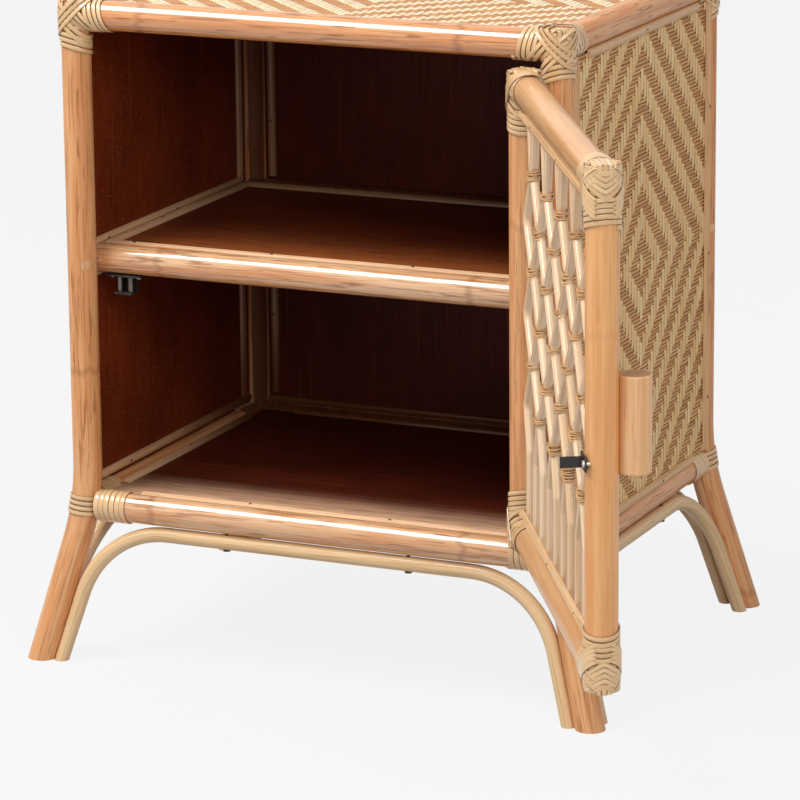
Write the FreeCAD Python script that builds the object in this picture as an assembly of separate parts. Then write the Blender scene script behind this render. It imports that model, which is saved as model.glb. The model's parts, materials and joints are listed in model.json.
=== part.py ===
"""Rattan storage side table with a hinged lattice door, in millimetres.

The origin is on the floor under the middle of the cabinet. X runs to the
right, Y to the back and Z up. The door is drawn wide open.
"""
import FreeCAD, Part
import math
import os

Vector = FreeCAD.Vector
os.makedirs("parts", exist_ok=True)
up = Vector(0, 0, 1)

# Pole frame
POST_SPACING_X = 470.0
POST_SPACING_Y = 358.0
POLE_DIAMETER = 27.0
TOP_RAIL_HEIGHT = 606.0
SHELF_RAIL_HEIGHT = 376.0
BOTTOM_RAIL_HEIGHT = 147.0
POST_END_ROUNDING = 4.0
JOINT_GAP = 0.1

# Splayed legs
FOOT_SPREAD_X = 40.0
FOOT_SPREAD_Y = 24.0
LEG_BEND_RADIUS = 250.0
LEG_BEND_TOP = 188.0

# Bent arches beside the legs
ARCH_DIAMETER = 14.0
ARCH_CORNER_RADIUS = 88.0
ARCH_GAP = 0.3
ARCH_SCREW_OFFSET_X = 91.0
ARCH_SCREW_OFFSET_Y = 60.0
ARCH_SCREW_DIAMETER = 3.5
ARCH_SCREW_LENGTH = 24.0
ARCH_SCREW_HEAD = 7.0
ARCH_SCREW_HEAD_HEIGHT = 2.6
ARCH_SCREW_SINK = 1.4

# Wound cane bindings
CANE_DIAMETER = 2.4
CANE_GAP = 0.6
BINDING_CLEARANCE = 0.35
BINDING_ROOM = 0.3
BINDING_START = 1.5
TOP_POST_TURNS = 7
TOP_RAIL_TURNS = 7
BOTTOM_POST_TURNS = 7
BOTTOM_RAIL_TURNS = 9
DOOR_STILE_TURNS = 8
DOOR_RAIL_TURNS = 6

# Boards, woven skins and beads
BOARD_THICKNESS = 6.0
BOARD_OFFSET = 1.5
WEAVE_THICKNESS = 2.0
WEAVE_PRESSED_THICKNESS = 1.2
WEAVE_BAND_DEPTH = 0.7
WEAVE_MID_STRIP = 7.1
SIDE_DIAMOND_PITCH = 42.6
TOP_DIAMOND_PITCH = 37.0
TOP_SURFACE_DROP = 9.5
BOTTOM_BOARD_THICKNESS = 9.0
BOTTOM_BOARD_DROP = 4.5
PANEL_GAP = 0.2
BEAD_WIDTH = 8.0
BEAD_HEIGHT = 4.0
BEAD_GAP = 0.3

# Shelf
SHELF_THICKNESS = 9.0
SHELF_DROP = 4.0
CLEAT_WIDTH = 4.6
CLEAT_HEIGHT = 17.0
SHELF_SCREW_DIAMETER = 4.0
SHELF_SCREW_LENGTH = 40.0
SHELF_SCREW_OFFSET_FRONT = 9.0
SHELF_SCREW_OFFSET_BACK = 4.0
PLUG_DIAMETER = 8.0
PLUG_LENGTH = 5.0
SCREW_HEAD_HEIGHT = 3.0
SCREW_CLEARANCE = 0.05

# Door
DOOR_OPEN_ANGLE = 121.0
DOOR_PROUD = 2.0
DOOR_FREE_GAP = 4.0
DOOR_END_CLEARANCE = 1.3
STILE_END_ROUNDING = 3.0
ROD_DIAMETER = 7.5
ROD_COUNT = 10
ROD_BEND_RADIUS = 12.0
TIE_FIRST_DROP = 56.0
TIE_SPACING = 41.0
TIE_LEVELS = 6
TIE_GAP = 0.3
TIE_HEIGHT = 8.0
TIE_THICKNESS = 1.2
TIE_CLEARANCE = 1.2
HANDLE_DIAMETER = 26.5
HANDLE_LENGTH = 80.0
HANDLE_CENTRE_HEIGHT = 381.0
HANDLE_SADDLE_DEPTH = 0.5
HANDLE_END_ROUNDING = 2.0

# Hinges
HINGE_INSET = 85.0
HINGE_HEIGHT = 50.0
HINGE_LEAF_WIDTH = 22.0
HINGE_LEAF_THICKNESS = 1.5
HINGE_LEAF_GAP = 1.5
HINGE_PIN_DIAMETER = 3.0
HINGE_PIN_CLEARANCE = 0.05
KNUCKLE_GAP = 0.3
HINGE_SCREW_SPACING = 30.0
HINGE_SCREW_DIAMETER = 3.2
HINGE_SCREW_HEAD = 6.0
HINGE_SCREW_LENGTH = 14.0

# Roller catch and strike
STRIKE_HEIGHT = 351.5
STRIKE_TONGUE_LENGTH = 18.0
STRIKE_TONGUE_THICKNESS = 1.8
STRIKE_TONGUE_WIDTH = 9.0
STRIKE_TAB_WIDTH = 22.0
STRIKE_TAB_HEIGHT = 12.0
STRIKE_TAB_THICKNESS = 1.5
STRIKE_SCREW_OFFSET = 7.0
STRIKE_SCREW_LENGTH = 11.0
ROLLER_DIAMETER = 6.6
ROLLER_HALF_SPACING = 5.6
ROLLER_PIN_DIAMETER = 2.0
ROLLER_BORE_CLEARANCE = 0.05
ROLLER_END_GAP = 0.3
ROLLER_TIP_LAP = 5.5
CATCH_LEAD = 0.6
CATCH_WIDTH = 36.0
CATCH_PLATE = 2.0
CATCH_DEPTH = 15.0
CATCH_DROP = 18.4
CATCH_SCREW_OFFSET = 13.5
CATCH_SCREW_DIAMETER = 3.0
CATCH_SCREW_HEAD = 5.6
CATCH_SCREW_HEAD_HEIGHT = 1.6
CATCH_SCREW_LENGTH = 14.0

# Values that follow from the sizes above
HALF_X = POST_SPACING_X / 2
HALF_Y = POST_SPACING_Y / 2
POLE_RADIUS = POLE_DIAMETER / 2
POST_TOP = TOP_RAIL_HEIGHT + POLE_RADIUS
CANE_PITCH = CANE_DIAMETER + CANE_GAP
ENVELOPE_RADIUS = POLE_RADIUS + BINDING_CLEARANCE + CANE_DIAMETER + BINDING_ROOM
RAIL_BINDING_OFFSET = ENVELOPE_RADIUS + BINDING_START
WALL_X = HALF_X + BOARD_OFFSET
WALL_Y = HALF_Y + BOARD_OFFSET
SKIN_OFFSET = BOARD_OFFSET + BOARD_THICKNESS + WEAVE_THICKNESS
TOP_SURFACE = POST_TOP - TOP_SURFACE_DROP
SHELF_TOP = SHELF_RAIL_HEIGHT + POLE_RADIUS - SHELF_DROP
BOTTOM_SURFACE = BOTTOM_RAIL_HEIGHT + POLE_RADIUS - BOTTOM_BOARD_DROP
PANEL_LOW = BOTTOM_RAIL_HEIGHT + POLE_RADIUS + JOINT_GAP
PANEL_HIGH = TOP_RAIL_HEIGHT - POLE_RADIUS - JOINT_GAP
CORNERS = [(-1, -1), (1, -1), (-1, 1), (1, 1)]
CORNER_NAMES = {(-1, -1): "front_left", (1, -1): "front_right", (-1, 1): "rear_left", (1, 1): "rear_right"}


def save(name, *pieces):
    """Write one node, a single solid or a group of separate solids."""
    solids = []
    for piece in pieces:
        solids.extend(piece.Solids)
    shape = solids[0] if len(solids) == 1 else Part.makeCompound(solids)
    shape.exportStep("parts/" + name + ".step")


def cylinder(radius, start, end):
    axis = end - start
    return Part.makeCylinder(radius, axis.Length, start, axis)


def box(low, high):
    size = high - low
    return Part.makeBox(size.x, size.y, size.z, low)


def mirror_x(shape):
    return shape.mirror(Vector(0, 0, 0), Vector(1, 0, 0))


def mirror_y(shape):
    return shape.mirror(Vector(0, 0, 0), Vector(0, 1, 0))


def prism(points, direction):
    face = Part.Face(Part.makePolygon(points + points[:1]))
    return face.extrude(direction)


def disc_wire(radius, centre, normal):
    return Part.Wire(Part.makeCircle(radius, centre, normal))


def rounded_path(points, radius):
    """Straight runs between points, with a tangent arc at each inner point."""
    edges = []
    start = points[0]
    for before, corner, after in zip(points, points[1:], points[2:]):
        inward = (corner - before).normalize()
        outward = (after - corner).normalize()
        turn = inward.getAngle(outward)
        setback = radius * math.tan(turn / 2)
        arc_start = corner - inward * setback
        arc_end = corner + outward * setback
        toward_centre = (outward - inward).normalize()
        arc_middle = corner + toward_centre * (radius / math.cos(turn / 2) - radius)
        edges.append(Part.LineSegment(start, arc_start).toShape())
        edges.append(Part.Arc(arc_start, arc_middle, arc_end).toShape())
        start = arc_end
    edges.append(Part.LineSegment(start, points[-1]).toShape())
    return Part.Wire(edges)


def tube(path, radius, start, direction):
    return path.makePipeShell([disc_wire(radius, start, direction)], True, False)


def round_ends(pole, heights, radius):
    """Round the pole's circular edges that lie at the given heights."""
    ends = []
    for edge in pole.Edges:
        low, high = edge.BoundBox.ZMin, edge.BoundBox.ZMax
        level = high - low < JOINT_GAP
        if level and any(abs(high - height) < JOINT_GAP for height in heights):
            ends.append(edge)
    return pole.makeFillet(radius, ends)


# Posts, each one pole that bends outward into a splayed leg
FOOT_OUT = math.hypot(FOOT_SPREAD_X, FOOT_SPREAD_Y)
BEND_REACH = LEG_BEND_RADIUS - FOOT_OUT
BEND_SLANT = math.hypot(BEND_REACH, LEG_BEND_TOP)
SPLAY = math.atan2(LEG_BEND_TOP, BEND_REACH) - math.acos(LEG_BEND_RADIUS / BEND_SLANT)


def lean_direction(side_x, side_y):
    return Vector(side_x * FOOT_SPREAD_X, side_y * FOOT_SPREAD_Y, 0) / FOOT_OUT


def bend_point(side_x, side_y, angle):
    """Point of the post's axis after it has bent through the angle."""
    top = Vector(side_x * HALF_X, side_y * HALF_Y, LEG_BEND_TOP)
    out = lean_direction(side_x, side_y) * (LEG_BEND_RADIUS * (1 - math.cos(angle)))
    return top + out - Vector(0, 0, LEG_BEND_RADIUS * math.sin(angle))


def leg_direction(side_x, side_y, angle):
    """Direction up the post's axis where it has bent through the angle."""
    return Vector(0, 0, math.cos(angle)) - lean_direction(side_x, side_y) * math.sin(angle)


def foot_centre(side_x, side_y):
    return Vector(side_x * (HALF_X + FOOT_SPREAD_X), side_y * (HALF_Y + FOOT_SPREAD_Y), 0)


def above_floor(shape):
    reach = POST_SPACING_X + POST_SPACING_Y
    return shape.common(box(Vector(-reach, -reach, 0), Vector(reach, reach, POST_TOP + POLE_RADIUS)))


def make_post(side_x, side_y):
    top = Vector(side_x * HALF_X, side_y * HALF_Y, POST_TOP)
    bend_start = bend_point(side_x, side_y, 0)
    bend_middle = bend_point(side_x, side_y, SPLAY / 2)
    bend_end = bend_point(side_x, side_y, SPLAY)
    below = foot_centre(side_x, side_y) - leg_direction(side_x, side_y, SPLAY) * POLE_DIAMETER
    path = Part.Wire([
        Part.LineSegment(top, bend_start).toShape(),
        Part.Arc(bend_start, bend_middle, bend_end).toShape(),
        Part.LineSegment(bend_end, below).toShape(),
    ])
    pole = above_floor(tube(path, POLE_RADIUS, top, Vector(0, 0, -1)))
    return round_ends(pole, [POST_TOP], POST_END_ROUNDING)


posts = {corner: make_post(*corner) for corner in CORNERS}


# Cane bindings, wound as helices of half-turn biarcs
def biarc(start, start_direction, end, end_direction):
    """Two tangent arcs between two points with given directions."""
    span = end - start
    directions = start_direction + end_direction
    square = 2 * (start_direction.dot(end_direction) - 1)
    linear = -2 * span.dot(directions)
    constant = span.dot(span)
    reach = (-linear - math.sqrt(linear * linear - 4 * square * constant)) / (2 * square)
    joint = (start + start_direction * reach + end - end_direction * reach) / 2
    edges = []
    for first, last, direction in [(start, joint, start_direction), (end, joint, end_direction * -1)]:
        chord = last - first
        along = Vector(chord).normalize()
        sideways = (direction - along * direction.dot(along)).normalize()
        rise = chord.Length / 2 * math.tan(direction.getAngle(chord) / 2)
        middle = (first + last) / 2 + sideways * rise
        edges.append(Part.Arc(first, middle, last).toShape())
    return edges


def make_winding(core_radius, turns):
    """One cane wound round a core along Z, with straight tangent ends."""
    radius = core_radius + BINDING_CLEARANCE + CANE_DIAMETER / 2
    lift = CANE_PITCH / (2 * math.pi)

    def point(angle):
        return Vector(radius * math.cos(angle), radius * math.sin(angle), CANE_DIAMETER / 2 + lift * angle)

    def direction(angle):
        return Vector(-radius * math.sin(angle), radius * math.cos(angle), lift).normalize()

    angles = [math.pi * step for step in range(2 * turns + 1)]
    first = point(angles[0]) - direction(angles[0]) * CANE_DIAMETER
    last = point(angles[-1]) + direction(angles[-1]) * CANE_DIAMETER
    edges = [Part.LineSegment(first, point(angles[0])).toShape()]
    for low, high in zip(angles, angles[1:]):
        edges.extend(biarc(point(low), direction(low), point(high), direction(high)))
    edges.append(Part.LineSegment(point(angles[-1]), last).toShape())
    path = Part.Wire(Part.__sortEdges__(edges))
    cane = tube(path, CANE_DIAMETER / 2, first, direction(angles[0]))
    print("winding of", turns, "turns, least gap to itself", round(least_gap(edges), 3), "mm")
    return cane


def least_gap(edges):
    """Least distance between neighbouring turns, less the cane's diameter."""
    samples_per_edge = 12
    points = []
    for edge in edges:
        points.extend(edge.discretize(Number=samples_per_edge))
    turn = 4 * samples_per_edge
    least = None
    for index, here in enumerate(points):
        for there in points[index + turn // 2:]:
            distance = here.distanceToPoint(there) - CANE_DIAMETER
            least = distance if least is None else min(least, distance)
    return least


WINDINGS = {turns: make_winding(POLE_RADIUS, turns)
            for turns in sorted({TOP_POST_TURNS, TOP_RAIL_TURNS, BOTTOM_POST_TURNS,
                                 BOTTOM_RAIL_TURNS, DOOR_STILE_TURNS, DOOR_RAIL_TURNS})}


def winding_length(turns):
    return turns * CANE_PITCH + CANE_DIAMETER


def bind(base, direction, turns):
    """A winding on a pole from base along direction, and the room it takes."""
    cane = WINDINGS[turns].copy()
    cane.Placement = FreeCAD.Placement(base, FreeCAD.Rotation(Vector(0, 0, 1), direction))
    unit = Vector(direction).normalize()
    room = cylinder(ENVELOPE_RADIUS, base - unit * BINDING_ROOM,
                    base + unit * (winding_length(turns) + BINDING_ROOM))
    return cane, room


top_bindings = []
bottom_bindings = []
frame_rooms = []
TOP_POST_BINDING_HIGH = TOP_RAIL_HEIGHT - POLE_RADIUS - BINDING_START
TOP_POST_BINDING_LOW = TOP_POST_BINDING_HIGH - winding_length(TOP_POST_TURNS)
BOTTOM_BEND = math.asin((LEG_BEND_TOP - BOTTOM_RAIL_HEIGHT) / LEG_BEND_RADIUS)
post_rooms = {}
for side_x, side_y in CORNERS:
    corner_top = Vector(side_x * HALF_X, side_y * HALF_Y, TOP_RAIL_HEIGHT)
    corner_bottom = Vector(side_x * HALF_X, side_y * HALF_Y, BOTTOM_RAIL_HEIGHT)
    across = Vector(-side_x, 0, 0)
    along = Vector(0, -side_y, 0)
    arms = [(Vector(corner_top.x, corner_top.y, TOP_POST_BINDING_LOW), Vector(0, 0, 1), TOP_POST_TURNS)]
    arms += [(corner_top + arm * RAIL_BINDING_OFFSET, arm, TOP_RAIL_TURNS) for arm in (across, along)]
    for arm in arms:
        cane, room = bind(*arm)
        top_bindings.append(cane)
        frame_rooms.append(room)
    along_post = leg_direction(side_x, side_y, BOTTOM_BEND)
    joint_centre = bend_point(side_x, side_y, BOTTOM_BEND)
    post_arm_start = joint_centre - along_post * (winding_length(BOTTOM_POST_TURNS) / 2)
    arms = [(post_arm_start, along_post, BOTTOM_POST_TURNS)]
    arms += [(corner_bottom + arm * RAIL_BINDING_OFFSET, arm, BOTTOM_RAIL_TURNS) for arm in (across, along)]
    for arm in arms:
        cane, room = bind(*arm)
        bottom_bindings.append(cane)
        frame_rooms.append(room)
    post_rooms[(side_x, side_y)] = cylinder(ENVELOPE_RADIUS, joint_centre - along_post * POLE_DIAMETER,
                                            joint_centre + along_post * POLE_DIAMETER)

save("top_bindings", *top_bindings)
save("bottom_bindings", *bottom_bindings)


# Rails, mitred at the corners and coped against the posts
def mitred_rail(along_x, side, height, ends):
    """Pole between two posts, cut by what stands at its ends."""
    length, offset = (HALF_X, HALF_Y) if along_x else (HALF_Y, HALF_X)

    def place(along, across, level):
        return Vector(along, side * across, level) if along_x else Vector(side * across, along, level)

    pole = cylinder(POLE_RADIUS, place(-length, offset, height), place(length, offset, height))
    tip = length - JOINT_GAP
    shoulder = tip - POLE_DIAMETER
    low = height - POLE_DIAMETER
    outline = [place(-tip, offset, low), place(-shoulder, offset - POLE_DIAMETER, low),
               place(shoulder, offset - POLE_DIAMETER, low), place(tip, offset, low),
               place(shoulder, offset + POLE_DIAMETER, low), place(-shoulder, offset + POLE_DIAMETER, low)]
    mitre = prism(outline, Vector(0, 0, 2 * POLE_DIAMETER))
    return pole.common(mitre).cut(ends)


post_cores = [cylinder(POLE_RADIUS + JOINT_GAP, Vector(x * HALF_X, y * HALF_Y, LEG_BEND_TOP),
                       Vector(x * HALF_X, y * HALF_Y, POST_TOP + POLE_RADIUS)) for x, y in CORNERS]
SIDES = {"front": (True, -1), "back": (True, 1), "left": (False, -1), "right": (False, 1)}
for name, (along_x, side) in SIDES.items():
    save("top_rail_" + name, mitred_rail(along_x, side, TOP_RAIL_HEIGHT, post_cores))


# Arches, thin bent poles that stand inside the legs and are screwed up under the bottom rails
ARCH_RADIUS = ARCH_DIAMETER / 2
ARCH_TOP = BOTTOM_RAIL_HEIGHT - POLE_RADIUS - ARCH_RADIUS - ARCH_GAP


def arch_leg(corner, run):
    """Foot and top corner of an arch, beside the corner's leg, for a top run along run."""
    along_leg = leg_direction(*corner, SPLAY)
    inside = (run - along_leg * run.dot(along_leg)).normalize()
    foot = foot_centre(*corner) + inside * (POLE_RADIUS + ARCH_RADIUS + ARCH_GAP)
    below = foot - along_leg * ((foot.z + ARCH_DIAMETER) / along_leg.z)
    high = foot + along_leg * ((ARCH_TOP - foot.z) / along_leg.z)
    return below, high


def arch_corners(along_x, side):
    """Foot, two top corners and foot of the arch on one side."""
    if along_x:
        first_corner, last_corner, run = (-1, side), (1, side), Vector(1, 0, 0)
    else:
        first_corner, last_corner, run = (side, -1), (side, 1), Vector(0, 1, 0)
    first_foot, first_high = arch_leg(first_corner, run)
    last_foot, last_high = arch_leg(last_corner, run * -1)
    return [first_foot, first_high, last_high, last_foot]


def make_arch(along_x, side):
    corners = arch_corners(along_x, side)
    path = rounded_path(corners, ARCH_CORNER_RADIUS)
    return above_floor(tube(path, ARCH_RADIUS, corners[0], corners[1] - corners[0]))


def arch_screw(along_x, side, offset):
    """A screw up through an arch into the rail above it, and the hole it needs."""
    _, first_high, last_high, _ = arch_corners(along_x, side)
    run = (last_high - first_high).normalize()
    seat = (first_high + last_high) / 2 + run * offset - up * (ARCH_RADIUS - ARCH_SCREW_SINK)
    head_low = seat - up * ARCH_SCREW_HEAD_HEIGHT
    tip = seat + up * ARCH_SCREW_LENGTH
    head = cylinder(ARCH_SCREW_HEAD / 2, head_low, seat)
    shank = cylinder(ARCH_SCREW_DIAMETER / 2, seat, tip)
    head_hole = cylinder(ARCH_SCREW_HEAD / 2 + SCREW_CLEARANCE, head_low, seat)
    shank_hole = cylinder(ARCH_SCREW_DIAMETER / 2 + SCREW_CLEARANCE, seat, tip + up * JOINT_GAP)
    return head.fuse(shank), head_hole.fuse(shank_hole)


arch_screws = []
for name, (along_x, side) in SIDES.items():
    rail = mitred_rail(along_x, side, BOTTOM_RAIL_HEIGHT, list(post_rooms.values()))
    arch = make_arch(along_x, side)
    screw_offset = ARCH_SCREW_OFFSET_X if along_x else ARCH_SCREW_OFFSET_Y
    for offset in (-screw_offset, screw_offset):
        screw, hole = arch_screw(along_x, side, offset)
        rail = rail.cut(hole)
        arch = arch.cut(hole)
        arch_screws.append(screw)
    save("bottom_rail_" + name, rail)
    save("arch_" + name, arch)
save("arch_screws", *arch_screws)


# Boards, with their corners cut clear of the bindings
def board(low, high):
    return box(low, high).cut(frame_rooms)


PANEL_EDGE_X = HALF_X - POLE_RADIUS - PANEL_GAP
PANEL_EDGE_Y = HALF_Y - POLE_RADIUS - PANEL_GAP
SKIN_X = WALL_X + BOARD_THICKNESS
SKIN_Y = WALL_Y + BOARD_THICKNESS
side_board = board(Vector(WALL_X, -PANEL_EDGE_Y, PANEL_LOW), Vector(SKIN_X, PANEL_EDGE_Y, PANEL_HIGH))
save("side_board_right", side_board)
save("side_board_left", mirror_x(side_board))
save("back_board", board(Vector(-PANEL_EDGE_X, WALL_Y, PANEL_LOW), Vector(PANEL_EDGE_X, SKIN_Y, PANEL_HIGH)))
TOP_SKIN_LOW = TOP_SURFACE - WEAVE_THICKNESS
save("top_board", board(Vector(-PANEL_EDGE_X, -PANEL_EDGE_Y, TOP_SKIN_LOW - BOARD_THICKNESS),
                        Vector(PANEL_EDGE_X, PANEL_EDGE_Y, TOP_SKIN_LOW)))
save("bottom_board", board(Vector(-PANEL_EDGE_X, -PANEL_EDGE_Y, BOTTOM_SURFACE - BOTTOM_BOARD_THICKNESS),
                           Vector(PANEL_EDGE_X, PANEL_EDGE_Y, BOTTOM_SURFACE)))

# Shelf: rails, cleats, board, screws and plugs
RAIL_FRONT_Y = -(HALF_Y - POLE_DIAMETER - JOINT_GAP)
RAIL_BACK_Y = WALL_Y - JOINT_GAP - POLE_RADIUS
CLEAT_X = WALL_X - JOINT_GAP - CLEAT_WIDTH
RAIL_END_X = CLEAT_X - PANEL_GAP
SHELF_LOW = SHELF_TOP - SHELF_THICKNESS


def shelf_pole(y):
    return cylinder(POLE_RADIUS, Vector(-RAIL_END_X, y, SHELF_RAIL_HEIGHT),
                    Vector(RAIL_END_X, y, SHELF_RAIL_HEIGHT))


def screw_and_holes(seat, direction, surface):
    """A screw with its head seat at seat, the hole it needs, and the plug over its head."""
    head_top = seat - direction * SCREW_HEAD_HEIGHT
    shank_end = seat + direction * SHELF_SCREW_LENGTH
    head = cylinder(PLUG_DIAMETER / 2 - SCREW_CLEARANCE, head_top, seat)
    shank = cylinder(SHELF_SCREW_DIAMETER / 2, seat, shank_end)
    outside = surface - direction * POLE_RADIUS
    plug_room = cylinder(PLUG_DIAMETER / 2, outside, head_top - direction * JOINT_GAP)
    wide_hole = cylinder(PLUG_DIAMETER / 2 + SCREW_CLEARANCE, outside, seat)
    narrow_hole = cylinder(SHELF_SCREW_DIAMETER / 2 + SCREW_CLEARANCE, seat, shank_end + direction)
    return head.fuse(shank), wide_hole.fuse(narrow_hole), plug_room


front_chord = math.sqrt(POLE_RADIUS ** 2 - SHELF_SCREW_OFFSET_FRONT ** 2)
front_surface = Vector(HALF_X - SHELF_SCREW_OFFSET_FRONT, -HALF_Y - front_chord, SHELF_RAIL_HEIGHT)
back_chord = math.sqrt(POLE_RADIUS ** 2 - SHELF_SCREW_OFFSET_BACK ** 2)
back_surface = Vector(HALF_X + back_chord, HALF_Y - SHELF_SCREW_OFFSET_BACK, SHELF_RAIL_HEIGHT)
inward_y = Vector(0, 1, 0)
inward_x = Vector(-1, 0, 0)
SCREW_SEAT_DEPTH = PLUG_LENGTH + SCREW_HEAD_HEIGHT
front_screw, front_hole, front_plug = screw_and_holes(
    front_surface + inward_y * SCREW_SEAT_DEPTH, inward_y, front_surface)
back_screw, back_hole, back_plug = screw_and_holes(
    back_surface + inward_x * SCREW_SEAT_DEPTH, inward_x, back_surface)
plugs = [front_plug.common(posts[(1, -1)]), back_plug.common(posts[(1, 1)])]
for corner, hole in [((1, -1), front_hole), ((-1, -1), mirror_x(front_hole)),
                     ((1, 1), back_hole), ((-1, 1), mirror_x(back_hole))]:
    posts[corner] = posts[corner].cut(hole)
save("shelf_screws", front_screw, mirror_x(front_screw), back_screw, mirror_x(back_screw))
save("shelf_plugs", *plugs, *[mirror_x(plug) for plug in plugs])

cleat = box(Vector(CLEAT_X, -PANEL_EDGE_Y, SHELF_LOW - JOINT_GAP - CLEAT_HEIGHT),
            Vector(CLEAT_X + CLEAT_WIDTH, RAIL_BACK_Y - POLE_RADIUS - JOINT_GAP, SHELF_LOW - JOINT_GAP))
save("shelf_cleats", cleat, mirror_x(cleat))
shelf_board = box(Vector(-(WALL_X - JOINT_GAP), RAIL_FRONT_Y, SHELF_LOW),
                  Vector(WALL_X - JOINT_GAP, RAIL_BACK_Y - POLE_RADIUS - JOINT_GAP, SHELF_TOP))
cope_end = Vector(POST_SPACING_X, RAIL_FRONT_Y, SHELF_RAIL_HEIGHT)
front_cope = cylinder(POLE_RADIUS + JOINT_GAP, Vector(-cope_end.x, cope_end.y, cope_end.z), cope_end)
save("shelf_board", shelf_board.cut(front_cope))
rear_cores = post_cores[2:]
save("shelf_rail_back", shelf_pole(RAIL_BACK_Y).cut(rear_cores + [back_hole, mirror_x(back_hole)]))


# Beads, half-round strips that cover the edges of the skins and boards
def bead(start, end, out):
    """Half-round strip whose flat side lies along start to end and faces away from out."""
    run = end - start
    across = run.cross(out).normalize() * (BEAD_WIDTH / 2)
    crown = out * BEAD_HEIGHT
    round_side = Part.Arc(start - across, start + crown, start + across).toShape()
    flat_side = Part.LineSegment(start + across, start - across).toShape()
    return Part.Face(Part.Wire([round_side, flat_side])).extrude(run)


def chord(offset):
    """Half the width of a pole at a distance from its axis."""
    return math.sqrt(max(POLE_RADIUS ** 2 - offset ** 2, 0))


HALF_BEAD = BEAD_WIDTH / 2
POST_SIDE = chord(SKIN_OFFSET) + BEAD_GAP + HALF_BEAD
TOP_BINDING_END = RAIL_BINDING_OFFSET + winding_length(TOP_RAIL_TURNS) + BINDING_START
BOTTOM_BINDING_END = RAIL_BINDING_OFFSET + winding_length(BOTTOM_RAIL_TURNS) + BINDING_START
BEAD_POST_LOW = BOTTOM_RAIL_HEIGHT + POLE_RADIUS + BINDING_START
BEAD_POST_HIGH = TOP_POST_BINDING_LOW - BINDING_START


def skin_beads(half_span, place, out):
    """Four beads round a skin: two beside the posts, two beside the rails."""
    strips = []
    for side in (-1, 1):
        edge = side * (half_span - POST_SIDE)
        strips.append(bead(place(edge, BEAD_POST_LOW), place(edge, BEAD_POST_HIGH), out))
    for height, end in [(TOP_RAIL_HEIGHT - POST_SIDE, half_span - TOP_BINDING_END),
                        (BOTTOM_RAIL_HEIGHT + POST_SIDE, half_span - BOTTOM_BINDING_END)]:
        strips.append(bead(place(-end, height), place(end, height), out))
    return strips


side_face = WALL_X + BOARD_THICKNESS + WEAVE_THICKNESS + JOINT_GAP
back_face = WALL_Y + BOARD_THICKNESS + WEAVE_THICKNESS + JOINT_GAP


def on_side(along, height):
    return Vector(side_face, along, height)


def on_back(along, height):
    return Vector(along, back_face, height)


side_beads = skin_beads(HALF_Y, on_side, Vector(1, 0, 0))
save("side_beads_right", *side_beads)
save("side_beads_left", *[mirror_x(strip) for strip in side_beads])
save("back_beads", *skin_beads(HALF_X, on_back, Vector(0, 1, 0)))


# Woven skins, with bands sunk in diamonds about the middle of each
def sunk_bands(half_across, half_up, pitch):
    """Diamond rings about the origin, facing up, that stop short of the middle strip each way."""
    bands = []
    room = box(Vector(WEAVE_MID_STRIP / 2, WEAVE_MID_STRIP / 2, -WEAVE_BAND_DEPTH),
               Vector(half_across, half_up, WEAVE_BAND_DEPTH))
    inner = pitch / 4
    while inner + pitch / 4 < half_across + half_up:
        outer = inner + pitch / 2
        corners = [Vector(inner, 0, -WEAVE_BAND_DEPTH), Vector(outer, 0, -WEAVE_BAND_DEPTH),
                   Vector(0, outer, -WEAVE_BAND_DEPTH), Vector(0, inner, -WEAVE_BAND_DEPTH)]
        ring = Part.Face(Part.makePolygon(corners + corners[:1])).extrude(up * (2 * WEAVE_BAND_DEPTH))
        band = ring.common(room)
        bands += [band, mirror_x(band), mirror_y(band), mirror_x(mirror_y(band))]
        inner += pitch
    return bands


def woven(skin, middle, across, out, half_across, half_up, pitch):
    """A skin with its bands sunk into the outer face, which has its middle at middle."""
    turn = FreeCAD.Rotation(across, out.cross(across), out, "XYZ")
    bands = sunk_bands(half_across, half_up, pitch)
    for band in bands:
        band.Placement = FreeCAD.Placement(middle, turn)
    return skin.cut(bands)


BEADED_EDGE = POST_SIDE + HALF_BEAD + BEAD_GAP
wall_middle = (TOP_RAIL_HEIGHT + BOTTOM_RAIL_HEIGHT) / 2
wall_half_up = (TOP_RAIL_HEIGHT - BOTTOM_RAIL_HEIGHT) / 2 - BEADED_EDGE
side_skin = board(Vector(SKIN_X, -PANEL_EDGE_Y, PANEL_LOW),
                  Vector(SKIN_X + WEAVE_THICKNESS, PANEL_EDGE_Y, PANEL_HIGH))
side_weave = woven(side_skin, Vector(SKIN_X + WEAVE_THICKNESS, 0, wall_middle), Vector(0, 1, 0),
                   Vector(1, 0, 0), HALF_Y - BEADED_EDGE, wall_half_up, SIDE_DIAMOND_PITCH)
save("side_weave_right", side_weave)
save("side_weave_left", mirror_x(side_weave))
back_skin = board(Vector(-PANEL_EDGE_X, SKIN_Y, PANEL_LOW),
                  Vector(PANEL_EDGE_X, SKIN_Y + WEAVE_THICKNESS, PANEL_HIGH))
save("back_weave", woven(back_skin, Vector(0, SKIN_Y + WEAVE_THICKNESS, wall_middle), Vector(-1, 0, 0),
                         Vector(0, 1, 0), HALF_X - BEADED_EDGE, wall_half_up, SIDE_DIAMOND_PITCH))

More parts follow.
